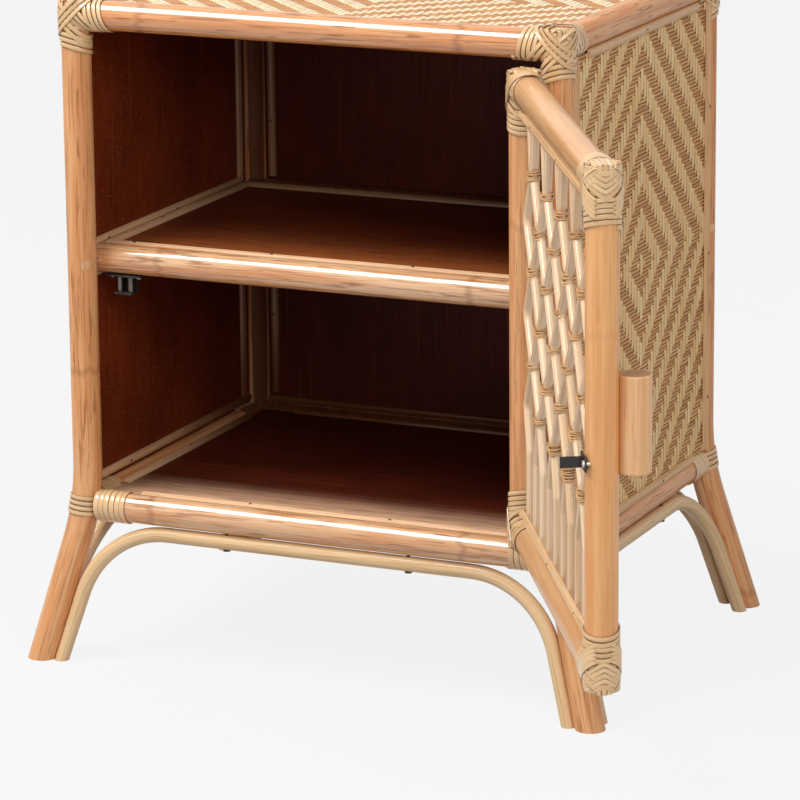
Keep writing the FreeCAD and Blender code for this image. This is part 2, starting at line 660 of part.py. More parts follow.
# Woven top, pressed thin under the beads that edge it
TOP_MARGIN = TOP_SKIN_LOW + WEAVE_PRESSED_THICKNESS
TOP_BEAD_OFFSET = chord(TOP_MARGIN - TOP_RAIL_HEIGHT) + BEAD_GAP + HALF_BEAD
top_level = TOP_MARGIN + JOINT_GAP
top_margin = board(Vector(-PANEL_EDGE_X, -PANEL_EDGE_Y, TOP_SKIN_LOW),
                   Vector(PANEL_EDGE_X, PANEL_EDGE_Y, TOP_MARGIN))
field_x = HALF_X - TOP_BEAD_OFFSET - HALF_BEAD - BEAD_GAP
field_y = HALF_Y - TOP_BEAD_OFFSET - HALF_BEAD - BEAD_GAP
top_field = box(Vector(-field_x, -field_y, TOP_SKIN_LOW), Vector(field_x, field_y, TOP_SURFACE))
top_skin = top_margin.fuse(top_field).removeSplitter()
save("top_weave", woven(top_skin, Vector(0, 0, TOP_SURFACE), Vector(1, 0, 0), up,
                        field_x - WEAVE_MID_STRIP / 2, field_y - WEAVE_MID_STRIP / 2, TOP_DIAMOND_PITCH))
top_front = bead(Vector(-(HALF_X - TOP_BINDING_END), -HALF_Y + TOP_BEAD_OFFSET, top_level),
                 Vector(HALF_X - TOP_BINDING_END, -HALF_Y + TOP_BEAD_OFFSET, top_level), up)
top_right = bead(Vector(HALF_X - TOP_BEAD_OFFSET, -(HALF_Y - TOP_BINDING_END), top_level),
                 Vector(HALF_X - TOP_BEAD_OFFSET, HALF_Y - TOP_BINDING_END, top_level), up)
save("top_beads", top_front, mirror_y(top_front), top_right, mirror_x(top_right))

wall_face = WALL_X - JOINT_GAP
back_inner_face = WALL_Y - JOINT_GAP
to_middle = Vector(-1, 0, 0)
shelf_level = SHELF_TOP + JOINT_GAP
bottom_level = BOTTOM_SURFACE + JOINT_GAP
shelf_back_edge = RAIL_BACK_Y - POLE_RADIUS - BEAD_GAP
shelf_wall_height = shelf_level + HALF_BEAD
bottom_wall_height = BOTTOM_RAIL_HEIGHT + ENVELOPE_RADIUS + HALF_BEAD
REAR_BEAD_Y = HALF_Y - ENVELOPE_RADIUS - BEAD_GAP - HALF_BEAD
REAR_BEAD_X = HALF_X - ENVELOPE_RADIUS - BEAD_GAP - HALF_BEAD
shelf_bead_x = wall_face - BEAD_HEIGHT - BEAD_GAP - HALF_BEAD
bottom_bead_inset = chord(BOTTOM_SURFACE - BOTTOM_RAIL_HEIGHT) + BEAD_GAP + HALF_BEAD
lower_top = SHELF_RAIL_HEIGHT - POLE_RADIUS - BINDING_START
lower_bottom = bottom_wall_height + HALF_BEAD + BEAD_GAP
upper_bottom = SHELF_RAIL_HEIGHT + POLE_RADIUS + BINDING_START
inner_right = [
    bead(Vector(wall_face, -PANEL_EDGE_Y, shelf_wall_height),
         Vector(wall_face, shelf_back_edge, shelf_wall_height), to_middle),
    bead(Vector(shelf_bead_x, RAIL_FRONT_Y + POLE_RADIUS + BEAD_GAP, shelf_level),
         Vector(shelf_bead_x, shelf_back_edge, shelf_level), up),
    bead(Vector(wall_face, -PANEL_EDGE_Y, bottom_wall_height),
         Vector(wall_face, REAR_BEAD_Y + HALF_BEAD, bottom_wall_height), to_middle),
    bead(Vector(HALF_X - bottom_bead_inset, -(HALF_Y - BOTTOM_BINDING_END), bottom_level),
         Vector(HALF_X - bottom_bead_inset, HALF_Y - BOTTOM_BINDING_END, bottom_level), up),
]
wall_bead_low = shelf_wall_height + HALF_BEAD + BEAD_GAP
for low, high in [(lower_bottom, SHELF_LOW - CLEAT_HEIGHT - BINDING_START), (wall_bead_low, BEAD_POST_HIGH)]:
    inner_right.append(bead(Vector(wall_face, REAR_BEAD_Y - BEAD_WIDTH, low),
                            Vector(wall_face, REAR_BEAD_Y - BEAD_WIDTH, high), to_middle))
for low, high in [(lower_bottom, lower_top), (upper_bottom, BEAD_POST_HIGH)]:
    inner_right.append(bead(Vector(REAR_BEAD_X, back_inner_face, low),
                            Vector(REAR_BEAD_X, back_inner_face, high), Vector(0, -1, 0)))
shelf_bead_end = shelf_bead_x - HALF_BEAD - BEAD_GAP
bottom_bead_end = HALF_X - BOTTOM_BINDING_END
shelf_front_inset = chord(shelf_level - SHELF_RAIL_HEIGHT) + BEAD_GAP + HALF_BEAD
inner_across = []
for y in (RAIL_FRONT_Y + shelf_front_inset, shelf_back_edge - HALF_BEAD):
    inner_across.append(bead(Vector(-shelf_bead_end, y, shelf_level),
                             Vector(shelf_bead_end, y, shelf_level), up))
for y in (-HALF_Y + bottom_bead_inset, HALF_Y - bottom_bead_inset):
    inner_across.append(bead(Vector(-bottom_bead_end, y, bottom_level),
                             Vector(bottom_bead_end, y, bottom_level), up))
save("inner_beads", *inner_right, *[mirror_x(strip) for strip in inner_right], *inner_across)

# Door geometry, worked out closed and then swung open about the hinge pins
DOOR_Y = -HALF_Y - DOOR_PROUD
HINGE_X = HALF_X - POLE_RADIUS - JOINT_GAP - HINGE_LEAF_THICKNESS - HINGE_LEAF_GAP
HINGE_Y = -HALF_Y - POLE_RADIUS
KNUCKLE_RADIUS = HINGE_LEAF_GAP + HINGE_LEAF_THICKNESS
STILE_HINGE_X = HINGE_X - KNUCKLE_RADIUS - JOINT_GAP - POLE_RADIUS
STILE_FREE_X = -(HALF_X - POLE_RADIUS - DOOR_FREE_GAP - POLE_RADIUS)
BINDING_PROUD = ENVELOPE_RADIUS - POLE_RADIUS
DOOR_LOW = BOTTOM_RAIL_HEIGHT + POLE_RADIUS + BINDING_PROUD + DOOR_END_CLEARANCE
DOOR_HIGH = TOP_RAIL_HEIGHT - POLE_RADIUS - BINDING_PROUD - DOOR_END_CLEARANCE
DOOR_RAIL_LOW = DOOR_LOW + POLE_RADIUS
DOOR_RAIL_HIGH = DOOR_HIGH - POLE_RADIUS
HINGE_HEIGHTS = [DOOR_LOW + HINGE_INSET, DOOR_HIGH - HINGE_INSET]


def swing(shape):
    """Turn a piece of the closed door to where the open door holds it."""
    turned = shape.copy()
    turned.rotate(Vector(HINGE_X, HINGE_Y, 0), up, DOOR_OPEN_ANGLE)
    return turned


def save_door(name, *pieces):
    save(name, *[swing(piece) for piece in pieces])


def stile(x):
    pole = cylinder(POLE_RADIUS, Vector(x, DOOR_Y, DOOR_LOW), Vector(x, DOOR_Y, DOOR_HIGH))
    return round_ends(pole, [DOOR_LOW, DOOR_HIGH], STILE_END_ROUNDING)


stile_cores = [cylinder(POLE_RADIUS + JOINT_GAP, Vector(x, DOOR_Y, DOOR_LOW - POLE_RADIUS),
                        Vector(x, DOOR_Y, DOOR_HIGH + POLE_RADIUS)) for x in (STILE_HINGE_X, STILE_FREE_X)]


def door_rail(height):
    pole = cylinder(POLE_RADIUS, Vector(STILE_FREE_X, DOOR_Y, height), Vector(STILE_HINGE_X, DOOR_Y, height))
    return pole.cut(stile_cores)


save_door("door_rail_top", door_rail(DOOR_RAIL_HIGH))
save_door("door_rail_bottom", door_rail(DOOR_RAIL_LOW))

door_bindings = []
door_rooms = []
STILE_BINDING_OFFSET = POLE_RADIUS + BINDING_PROUD + BINDING_START
for stile_x, inward in [(STILE_HINGE_X, Vector(-1, 0, 0)), (STILE_FREE_X, Vector(1, 0, 0))]:
    for height, upward in [(DOOR_RAIL_LOW, up), (DOOR_RAIL_HIGH, up * -1)]:
        joint = Vector(stile_x, DOOR_Y, height)
        for direction, turns in [(upward, DOOR_STILE_TURNS), (inward, DOOR_RAIL_TURNS)]:
            cane, room = bind(joint + direction * STILE_BINDING_OFFSET, direction, turns)
            door_bindings.append(cane)
            door_rooms.append(room)
save_door("door_bindings", *door_bindings)

# Lattice of zig-zag rods, tied in pairs where they meet
LATTICE_LEFT = STILE_FREE_X + POLE_RADIUS
LATTICE_RIGHT = STILE_HINGE_X - POLE_RADIUS
ROD_RADIUS = ROD_DIAMETER / 2
ROD_PITCH = (LATTICE_RIGHT - LATTICE_LEFT) / ROD_COUNT
ROD_SWAY = (ROD_PITCH - ROD_DIAMETER - TIE_GAP) / 2
LATTICE_TOP = DOOR_RAIL_HIGH - POLE_RADIUS
BEND_HEIGHTS = [LATTICE_TOP - TIE_FIRST_DROP - level * TIE_SPACING for level in range(TIE_LEVELS)]
BEND_PASSES = 12
door_rail_cores = [cylinder(POLE_RADIUS + PANEL_GAP, Vector(STILE_FREE_X, DOOR_Y, height),
                            Vector(STILE_HINGE_X, DOOR_Y, height))
                   for height in (DOOR_RAIL_LOW, DOOR_RAIL_HIGH)]


def rod_x(index):
    return LATTICE_LEFT + (index + 0.5) * ROD_PITCH


def rod_path_points(index):
    """Corners of a rod's path, with bends that meet its neighbours, and the heights of the bends."""
    middle = rod_x(index)
    sides = [(-1) ** (index + level) for level in range(TIE_LEVELS)]
    heights = [DOOR_RAIL_HIGH] + BEND_HEIGHTS + [BEND_HEIGHTS[-1] - TIE_SPACING, DOOR_RAIL_LOW]
    offsets = [0.0] + [side * ROD_SWAY for side in sides] + [0.0, 0.0]
    bend_heights = list(BEND_HEIGHTS)
    for _ in range(BEND_PASSES):
        corners = [Vector(offset, 0, height) for offset, height in zip(offsets, heights)]
        for level, side in enumerate(sides, start=1):
            inward = (corners[level] - corners[level - 1]).normalize()
            outward = (corners[level + 1] - corners[level]).normalize()
            turn = inward.getAngle(outward)
            toward_centre = (outward - inward).normalize()
            centre_inset = toward_centre * (ROD_BEND_RADIUS / math.cos(turn / 2))
            offsets[level] = side * (ROD_SWAY + abs(centre_inset.x) - ROD_BEND_RADIUS)
            bend_heights[level - 1] = heights[level] + centre_inset.z
    points = [Vector(middle + offset, DOOR_Y, height) for offset, height in zip(offsets, heights)]
    return points, bend_heights


def make_rod(index):
    points, _ = rod_path_points(index)
    path = rounded_path(points, ROD_BEND_RADIUS)
    return tube(path, ROD_RADIUS, points[0], points[1] - points[0]).cut(door_rail_cores + door_rooms)


def stadium(x, height, radius):
    """Flat oval round a pair of rods, as a face at the given height."""
    half = (ROD_DIAMETER + TIE_GAP) / 2
    left_front = Vector(x - half, DOOR_Y - radius, height)
    left_back = Vector(x - half, DOOR_Y + radius, height)
    right_front = Vector(x + half, DOOR_Y - radius, height)
    right_back = Vector(x + half, DOOR_Y + radius, height)
    edges = [Part.LineSegment(left_front, right_front).toShape(),
             Part.Arc(right_front, Vector(x + half + radius, DOOR_Y, height), right_back).toShape(),
             Part.LineSegment(right_back, left_back).toShape(),
             Part.Arc(left_back, Vector(x - half - radius, DOOR_Y, height), left_front).toShape()]
    return Part.Face(Part.Wire(edges))


def make_tie(x, height):
    low = height - TIE_HEIGHT / 2
    inner = ROD_RADIUS + TIE_CLEARANCE
    ring = stadium(x, low, inner + TIE_THICKNESS).cut(stadium(x, low, inner))
    return ring.extrude(up * TIE_HEIGHT)


ties = []
for level, height in enumerate(rod_path_points(0)[1]):
    for index in range(level % 2, ROD_COUNT - 1, 2):
        ties.append(make_tie((rod_x(index) + rod_x(index + 1)) / 2, height))
save_door("door_rods", *[make_rod(index) for index in range(ROD_COUNT)])
save_door("door_ties", *ties)

bead_face = DOOR_Y + ROD_RADIUS + PANEL_GAP
DOOR_BEAD_END = POLE_RADIUS + BINDING_PROUD + BEAD_GAP
DOOR_BEAD_INSET = ENVELOPE_RADIUS + BEAD_GAP + HALF_BEAD
door_beads = []
for height in (DOOR_RAIL_LOW + DOOR_BEAD_INSET, DOOR_RAIL_HIGH - DOOR_BEAD_INSET):
    door_beads.append(bead(Vector(STILE_FREE_X + DOOR_BEAD_END, bead_face, height),
                           Vector(STILE_HINGE_X - DOOR_BEAD_END, bead_face, height), Vector(0, 1, 0)))
save_door("door_beads", *door_beads)

# Handle, a short piece of pole saddled to the outer face of the free stile
HANDLE_RADIUS = HANDLE_DIAMETER / 2
handle_y = DOOR_Y - POLE_RADIUS - HANDLE_RADIUS + HANDLE_SADDLE_DEPTH
handle_low = HANDLE_CENTRE_HEIGHT - HANDLE_LENGTH / 2
handle_high = HANDLE_CENTRE_HEIGHT + HANDLE_LENGTH / 2
handle = cylinder(HANDLE_RADIUS, Vector(STILE_FREE_X, handle_y, handle_low),
                  Vector(STILE_FREE_X, handle_y, handle_high))
handle = round_ends(handle, [handle_low, handle_high], HANDLE_END_ROUNDING)
save_door("door_handle", handle.cut(stile_cores[1]))


# Butt hinges: leaves tangent to the post and the hinge stile, pins and screws
def knuckle(low, high):
    return cylinder(KNUCKLE_RADIUS, Vector(HINGE_X, HINGE_Y, low), Vector(HINGE_X, HINGE_Y, high))


def hinge_leaf(side, centre, knuckles):
    """Leaf on one side of the pin, with its own share of the knuckles."""
    inner = HINGE_X + side * HINGE_LEAF_GAP
    outer = HINGE_X + side * KNUCKLE_RADIUS
    low = centre - HINGE_HEIGHT / 2
    high = centre + HINGE_HEIGHT / 2
    near = HINGE_Y + KNUCKLE_RADIUS + KNUCKLE_GAP
    left, right = min(inner, outer), max(inner, outer)
    leaf = box(Vector(left, near, low), Vector(right, HINGE_Y + HINGE_LEAF_WIDTH, high))
    for knuckle_low, knuckle_high in knuckles:
        web = box(Vector(left, HINGE_Y, knuckle_low), Vector(right, near, knuckle_high))
        leaf = leaf.fuse([web, knuckle(knuckle_low, knuckle_high)])
    bore = cylinder(HINGE_PIN_DIAMETER / 2 + HINGE_PIN_CLEARANCE, Vector(HINGE_X, HINGE_Y, low - KNUCKLE_GAP),
                    Vector(HINGE_X, HINGE_Y, high + KNUCKLE_GAP))
    return leaf.cut(bore).removeSplitter()


def countersunk_screw(face, direction, extra):
    """Screw with a flush conical head at face, or its hole when extra is a clearance."""
    head_radius = HINGE_SCREW_HEAD / 2 + extra
    shank_radius = HINGE_SCREW_DIAMETER / 2 + extra
    head = Part.makeCone(head_radius, shank_radius, HINGE_LEAF_THICKNESS, face, direction)
    shank = cylinder(shank_radius, face + direction * HINGE_LEAF_THICKNESS,
                     face + direction * (HINGE_SCREW_LENGTH + extra))
    return head.fuse(shank)


third = HINGE_HEIGHT / 3
post_leaves = []
door_leaves = []
hinge_pins = []
post_screws = []
door_screws = []
hinge_stile = stile(STILE_HINGE_X)
hinge_post = posts[(1, -1)]
for centre in HINGE_HEIGHTS:
    low = centre - HINGE_HEIGHT / 2
    high = centre + HINGE_HEIGHT / 2
    post_leaf = hinge_leaf(1, centre, [(low, low + third), (high - third, high)])
    door_leaf = hinge_leaf(-1, centre, [(low + third + KNUCKLE_GAP, high - third - KNUCKLE_GAP)])
    for lift in (-HINGE_SCREW_SPACING / 2, HINGE_SCREW_SPACING / 2):
        post_place = Vector(HINGE_X + HINGE_LEAF_GAP, -HALF_Y, centre + lift)
        door_place = Vector(HINGE_X - HINGE_LEAF_GAP, DOOR_Y, centre + lift)
        post_hole = countersunk_screw(post_place, Vector(1, 0, 0), SCREW_CLEARANCE)
        door_hole = countersunk_screw(door_place, Vector(-1, 0, 0), SCREW_CLEARANCE)
        post_leaf = post_leaf.cut(post_hole)
        door_leaf = door_leaf.cut(door_hole)
        hinge_post = hinge_post.cut(post_hole)
        hinge_stile = hinge_stile.cut(door_hole)
        post_screws.append(countersunk_screw(post_place, Vector(1, 0, 0), 0))
        door_screws.append(countersunk_screw(door_place, Vector(-1, 0, 0), 0))
    post_leaves.append(post_leaf)
    door_leaves.append(door_leaf)
    hinge_pins.append(cylinder(HINGE_PIN_DIAMETER / 2, Vector(HINGE_X, HINGE_Y, low),
                               Vector(HINGE_X, HINGE_Y, high)))
posts[(1, -1)] = hinge_post
save("hinge_leaves_post", *post_leaves)
save("hinge_pins", *hinge_pins)
save("hinge_screws_post", *post_screws)
save_door("hinge_leaves_door", *door_leaves)
save_door("hinge_screws_door", *door_screws)
save_door("door_stile_hinge", hinge_stile)
for corner, post in posts.items():
    save("post_" + CORNER_NAMES[corner], post)

# Strike, a bent tongue screwed to the inner face of the free stile
stile_face = DOOR_Y + POLE_RADIUS + JOINT_GAP
tab_face = stile_face + STRIKE_TAB_THICKNESS
half_tab = STRIKE_TAB_HEIGHT / 2
tab = box(Vector(STILE_FREE_X - STRIKE_TAB_WIDTH / 2, stile_face, STRIKE_HEIGHT - half_tab),
          Vector(STILE_FREE_X + STRIKE_TAB_WIDTH / 2, tab_face, STRIKE_HEIGHT + half_tab))
half_tongue = STRIKE_TONGUE_WIDTH / 2
tongue_tip = tab_face + STRIKE_TONGUE_LENGTH
tongue = box(Vector(STILE_FREE_X - STRIKE_TONGUE_THICKNESS / 2, stile_face, STRIKE_HEIGHT - half_tongue),
             Vector(STILE_FREE_X + STRIKE_TONGUE_THICKNESS / 2, tongue_tip, STRIKE_HEIGHT + half_tongue))
screw_x = STILE_FREE_X - STRIKE_SCREW_OFFSET


def strike_screw_form(extra):
    """Pan-head screw through the tab, or its hole when extra is a clearance."""
    radius = HINGE_SCREW_DIAMETER / 2 + extra
    return cylinder(radius, Vector(screw_x, tab_face, STRIKE_HEIGHT),
                    Vector(screw_x, tab_face - STRIKE_SCREW_LENGTH - extra, STRIKE_HEIGHT))


strike_head = cylinder(HINGE_SCREW_HEAD / 2, Vector(screw_x, tab_face, STRIKE_HEIGHT),
                       Vector(screw_x, tab_face + CATCH_SCREW_HEAD_HEIGHT, STRIKE_HEIGHT))
save_door("door_strike", tab.fuse(tongue).removeSplitter().cut(strike_screw_form(SCREW_CLEARANCE)))
save_door("strike_screw", strike_head.fuse(strike_screw_form(0)))
save_door("door_stile_free", stile(STILE_FREE_X).cut(strike_screw_form(SCREW_CLEARANCE)))

# Roller catch under the front shelf rail
CATCH_X = STILE_FREE_X - CATCH_LEAD
ROLLER_Y = tongue_tip - ROLLER_TIP_LAP
catch_top = SHELF_RAIL_HEIGHT - POLE_RADIUS - JOINT_GAP
plate_low = catch_top - CATCH_PLATE
catch_low = catch_top - CATCH_DROP
half_width = CATCH_WIDTH / 2
catch_front = RAIL_FRONT_Y - CATCH_DEPTH / 2
catch_back = RAIL_FRONT_Y + CATCH_DEPTH / 2
tab_half_width = ROLLER_HALF_SPACING + ROLLER_DIAMETER / 2
plate = box(Vector(CATCH_X - half_width, catch_front, plate_low),
            Vector(CATCH_X + half_width, catch_back, catch_top))
back_wall = box(Vector(CATCH_X - tab_half_width, catch_back - CATCH_PLATE, catch_low),
                Vector(CATCH_X + tab_half_width, catch_back, plate_low))
foot_plate = box(Vector(CATCH_X - tab_half_width, catch_front, catch_low),
                 Vector(CATCH_X + tab_half_width, catch_back, catch_low + CATCH_PLATE))
catch_body = plate.fuse([back_wall, foot_plate]).removeSplitter()
rail_holes = []
catch_screws = []
for side in (-1, 1):
    x = CATCH_X + side * CATCH_SCREW_OFFSET
    seat = Vector(x, RAIL_FRONT_Y, plate_low)
    hole_end = seat + up * (CATCH_SCREW_LENGTH + JOINT_GAP)
    hole = cylinder(CATCH_SCREW_DIAMETER / 2 + SCREW_CLEARANCE, seat, hole_end)
    head = cylinder(CATCH_SCREW_HEAD / 2, seat - up * CATCH_SCREW_HEAD_HEIGHT, seat)
    shank = cylinder(CATCH_SCREW_DIAMETER / 2, seat, seat + up * CATCH_SCREW_LENGTH)
    catch_screws.append(head.fuse(shank))
    rail_holes.append(hole)
catch_pins = []
for side, name in [(-1, "catch_roller_left"), (1, "catch_roller_right")]:
    x = CATCH_X + side * ROLLER_HALF_SPACING
    low = Vector(x, ROLLER_Y, catch_low)
    high = Vector(x, ROLLER_Y, catch_top)
    catch_pins.append(cylinder(ROLLER_PIN_DIAMETER / 2, low, high))
    catch_body = catch_body.cut(cylinder(ROLLER_PIN_DIAMETER / 2 + SCREW_CLEARANCE, low - up, high + up))
    roller_low = low + up * (CATCH_PLATE + ROLLER_END_GAP)
    roller_high = Vector(x, ROLLER_Y, plate_low - ROLLER_END_GAP)
    roller = cylinder(ROLLER_DIAMETER / 2, roller_low, roller_high)
    save(name, roller.cut(cylinder(ROLLER_PIN_DIAMETER / 2 + ROLLER_BORE_CLEARANCE, roller_low, roller_high)))
save("catch_body", catch_body.cut(rail_holes))
save("catch_pins", *catch_pins)
save("catch_screws", *catch_screws)
save("shelf_rail_front", shelf_pole(RAIL_FRONT_Y).cut(rail_holes + [front_hole, mirror_x(front_hole)]))
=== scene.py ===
import json
import math
import random

import bpy
from mathutils import Matrix, Vector


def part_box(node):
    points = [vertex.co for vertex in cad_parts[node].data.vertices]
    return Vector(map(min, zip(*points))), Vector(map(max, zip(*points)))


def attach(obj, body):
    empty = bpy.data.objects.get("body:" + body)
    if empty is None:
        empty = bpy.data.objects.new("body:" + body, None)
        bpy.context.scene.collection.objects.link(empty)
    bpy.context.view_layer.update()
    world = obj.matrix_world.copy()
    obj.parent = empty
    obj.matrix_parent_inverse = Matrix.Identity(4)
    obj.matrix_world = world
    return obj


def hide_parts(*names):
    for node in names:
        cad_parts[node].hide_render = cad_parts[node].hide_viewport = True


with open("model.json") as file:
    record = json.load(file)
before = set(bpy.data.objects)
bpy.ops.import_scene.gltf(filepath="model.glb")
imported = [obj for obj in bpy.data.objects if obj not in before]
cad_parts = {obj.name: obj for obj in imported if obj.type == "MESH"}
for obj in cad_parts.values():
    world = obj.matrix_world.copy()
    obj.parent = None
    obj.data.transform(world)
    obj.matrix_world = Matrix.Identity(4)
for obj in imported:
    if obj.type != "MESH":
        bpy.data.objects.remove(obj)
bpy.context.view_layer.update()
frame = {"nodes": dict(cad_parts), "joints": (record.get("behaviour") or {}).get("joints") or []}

# Lacquered rattan poles: posts that bend into legs, rails, shelf rails and the door's frame.
# Peeled rattan of about 27 mm, steamed to shape and sprayed with clear gloss lacquer, so the
# fibres run along each pole as fine streaks, with scorched flecks and a ring at each node.
rail_low, rail_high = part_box("top_rail_front")
POLE_RADIUS = (rail_high.z - rail_low.z) / 2
TOP_Z = (rail_low.z + rail_high.z) / 2
HALF_Y = -(rail_low.y + rail_high.y) / 2
side_low, side_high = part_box("top_rail_right")
HALF_X = (side_low.x + side_high.x) / 2
bottom_low, bottom_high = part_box("bottom_rail_front")
BOTTOM_Z = (bottom_low.z + bottom_high.z) / 2
LEG_BEND_TOP = 0.188
LEG_BEND_RADIUS = 0.250
FOOT_SPREAD = Vector((0.040, 0.024, 0))
FOOT_OUT = FOOT_SPREAD.length
LEAN = FOOT_SPREAD.normalized()
bend_reach = LEG_BEND_RADIUS - FOOT_OUT
bend_chord = math.hypot(bend_reach, LEG_BEND_TOP)
SPLAY = math.atan2(LEG_BEND_TOP, bend_reach) - math.acos(LEG_BEND_RADIUS / bend_chord)
door_joint = next(joint for joint in frame["joints"] if joint["name"] == "door_hinge")
DOOR_ANGLE = math.radians(-door_joint["range_deg"][0])
NODE_SPACING = 0.31
POST_SHIFT_X = 1.7
POST_SHIFT_Y = 0.6
CORNER_EDGE = (0.001, 0.003)
SOFT_EDGE = 0.004
SHADE_AND_END_SHARE = 0.9
END_STEEPNESS = (0.7, 0.95)
RING_WANDER = 0.02
RING_WIDTH = 0.02


class Socket:
    """A socket of a node tree: arithmetic on it adds Math nodes, and node() adds any other node."""

    def __init__(self, tree, socket=None):
        self.tree = tree
        self.socket = socket

    def node(self, kind, settings=None, inputs=None, output=0):
        made = self.tree.nodes.new(kind)
        for name, setting in (settings or {}).items():
            setattr(made, name, setting)
        for key, given in (inputs or {}).items():
            if isinstance(given, Socket):
                self.tree.links.new(given.socket, made.inputs[key])
            else:
                made.inputs[key].default_value = given
        return Socket(self.tree, made.outputs[output])

    def math(self, operation, *values):
        return self.node("ShaderNodeMath", {"operation": operation}, dict(enumerate(values)))

    def __add__(self, other):
        return self.math("ADD", self, other)

    def __sub__(self, other):
        return self.math("SUBTRACT", self, other)

    def __mul__(self, other):
        return self.math("MULTIPLY", self, other)

    def __truediv__(self, other):
        return self.math("DIVIDE", self, other)

    def __mod__(self, other):
        return self.math("FLOORED_MODULO", self, other)

    def __pow__(self, other):
        return self.math("POWER", self, other)

    def __abs__(self):
        return self.math("ABSOLUTE", self)

    def __radd__(self, other):
        return self.math("ADD", other, self)

    def __rsub__(self, other):
        return self.math("SUBTRACT", other, self)

    def __rmul__(self, other):
        return self.math("MULTIPLY", other, self)

    def ramp(self, low, high):
        """From 0 at low to 1 at high, eased at both ends."""
        inputs = {"Value": self, "From Min": low, "From Max": high}
        return self.node("ShaderNodeMapRange", {"interpolation_type": "SMOOTHSTEP"}, inputs)

    def mix(self, first, second):
        """Colour first where this is 0, second where it is 1."""
        return self.node("ShaderNodeMix", {"data_type": "RGBA"}, {0: self, 6: first, 7: second}, 2)

    def parts(self):
        """The X, Y and Z of a vector."""
        return [self.node("ShaderNodeSeparateXYZ", None, {0: self}, index) for index in range(3)]

    def place(self):
        """Object coordinates."""
        return self.node("ShaderNodeTexCoord", None, None, "Object")

    def vector(self, x, y, z):
        return self.node("ShaderNodeCombineXYZ", None, {0: x, 1: y, 2: z})

    def noise(self, across, along, detail=2.0):
        """Noise on straightened coordinates, whose Z runs along the fibres."""
        scale = (across, across, along)
        stretched = self.node("ShaderNodeMapping", None, {"Vector": self, "Scale": scale})
        inputs = {"Vector": stretched, "Scale": 1.0, "Detail": detail}
        return self.node("ShaderNodeTexNoise", None, inputs)


def paint(red, green, blue):
    """A colour as it looks on screen, 0 to 255, in the linear form that shaders take."""
    linear = []
    for level in (red, green, blue):
        share = level / 255
        linear.append(share / 12.92 if share <= 0.04045 else ((share + 0.055) / 1.055) ** 2.4)
    return (*linear, 1.0)


def new_material(name):
    """An empty material, its tree as a Socket, and its shader node."""
    made = bpy.data.materials.new(name)
    made.use_nodes = True
    shader = made.node_tree.nodes["Principled BSDF"]
    return made, Socket(made.node_tree), shader


def feed(shader, name, given):
    given.tree.links.new(given.socket, shader.inputs[name])


def bump(height, strength, distance):
    return height.node("ShaderNodeBump", None, {"Strength": strength, "Distance": distance, "Height": height})


def along_axis(root, axis):
    """Object coordinates turned so that Z runs along a straight pole."""
    place = root.place()
    if axis == "z":
        return place
    if axis == "door":
        place = root.node("ShaderNodeMapping", None, {"Vector": place, "Rotation": (0, 0, -DOOR_ANGLE)})
    x, y, z = place.parts()
    return root.vector(z, x, y) if axis == "y" else root.vector(y, z, x)


def along_post(root):
    """Object coordinates of a post with its leg bent straight, and shifted so that the posts differ."""
    x, y, z = root.place().parts()
    side_x = root.math("SIGN", x)
    side_y = root.math("SIGN", y)
    drop = root.math("MAXIMUM", LEG_BEND_TOP - z, 0.0)
    in_arc = root.math("MINIMUM", drop, LEG_BEND_RADIUS * math.sin(SPLAY))
    arc_out = LEG_BEND_RADIUS - root.math("SQRT", LEG_BEND_RADIUS ** 2 - in_arc * in_arc)
    out = arc_out + (drop - in_arc) * math.tan(SPLAY)
    shift = side_x * POST_SHIFT_X + side_y * POST_SHIFT_Y
    return root.vector(x - side_x * out * LEAN.x, y - side_y * out * LEAN.y, z + shift)


def inner_corner(root):
    """1 on the quarter of each rear post that shows between the beads inside the cupboard, where its colour
    is painted shade.
    """
    x, y, z = root.place().parts()
    rear = (HALF_Y - y).ramp(*CORNER_EDGE) * root.math("GREATER_THAN", y, 0.0)
    return rear * (HALF_X - abs(x)).ramp(*CORNER_EDGE) * z.ramp(BOTTOM_Z, BOTTOM_Z + POLE_RADIUS)


def inner_half(root):
    """1 on the side of a rear rail that faces into the cupboard, where its colour is painted shade."""
    return (HALF_Y - root.place().parts()[1]).ramp(0.0, SOFT_EDGE)


def cut_end(root):
    """1 on the sawn ends of an upright pole, whose faces look up or down."""
    upward = root.node("ShaderNodeNewGeometry", None, None, "Normal").parts()[2]
    return abs(upward).ramp(*END_STEEPNESS)


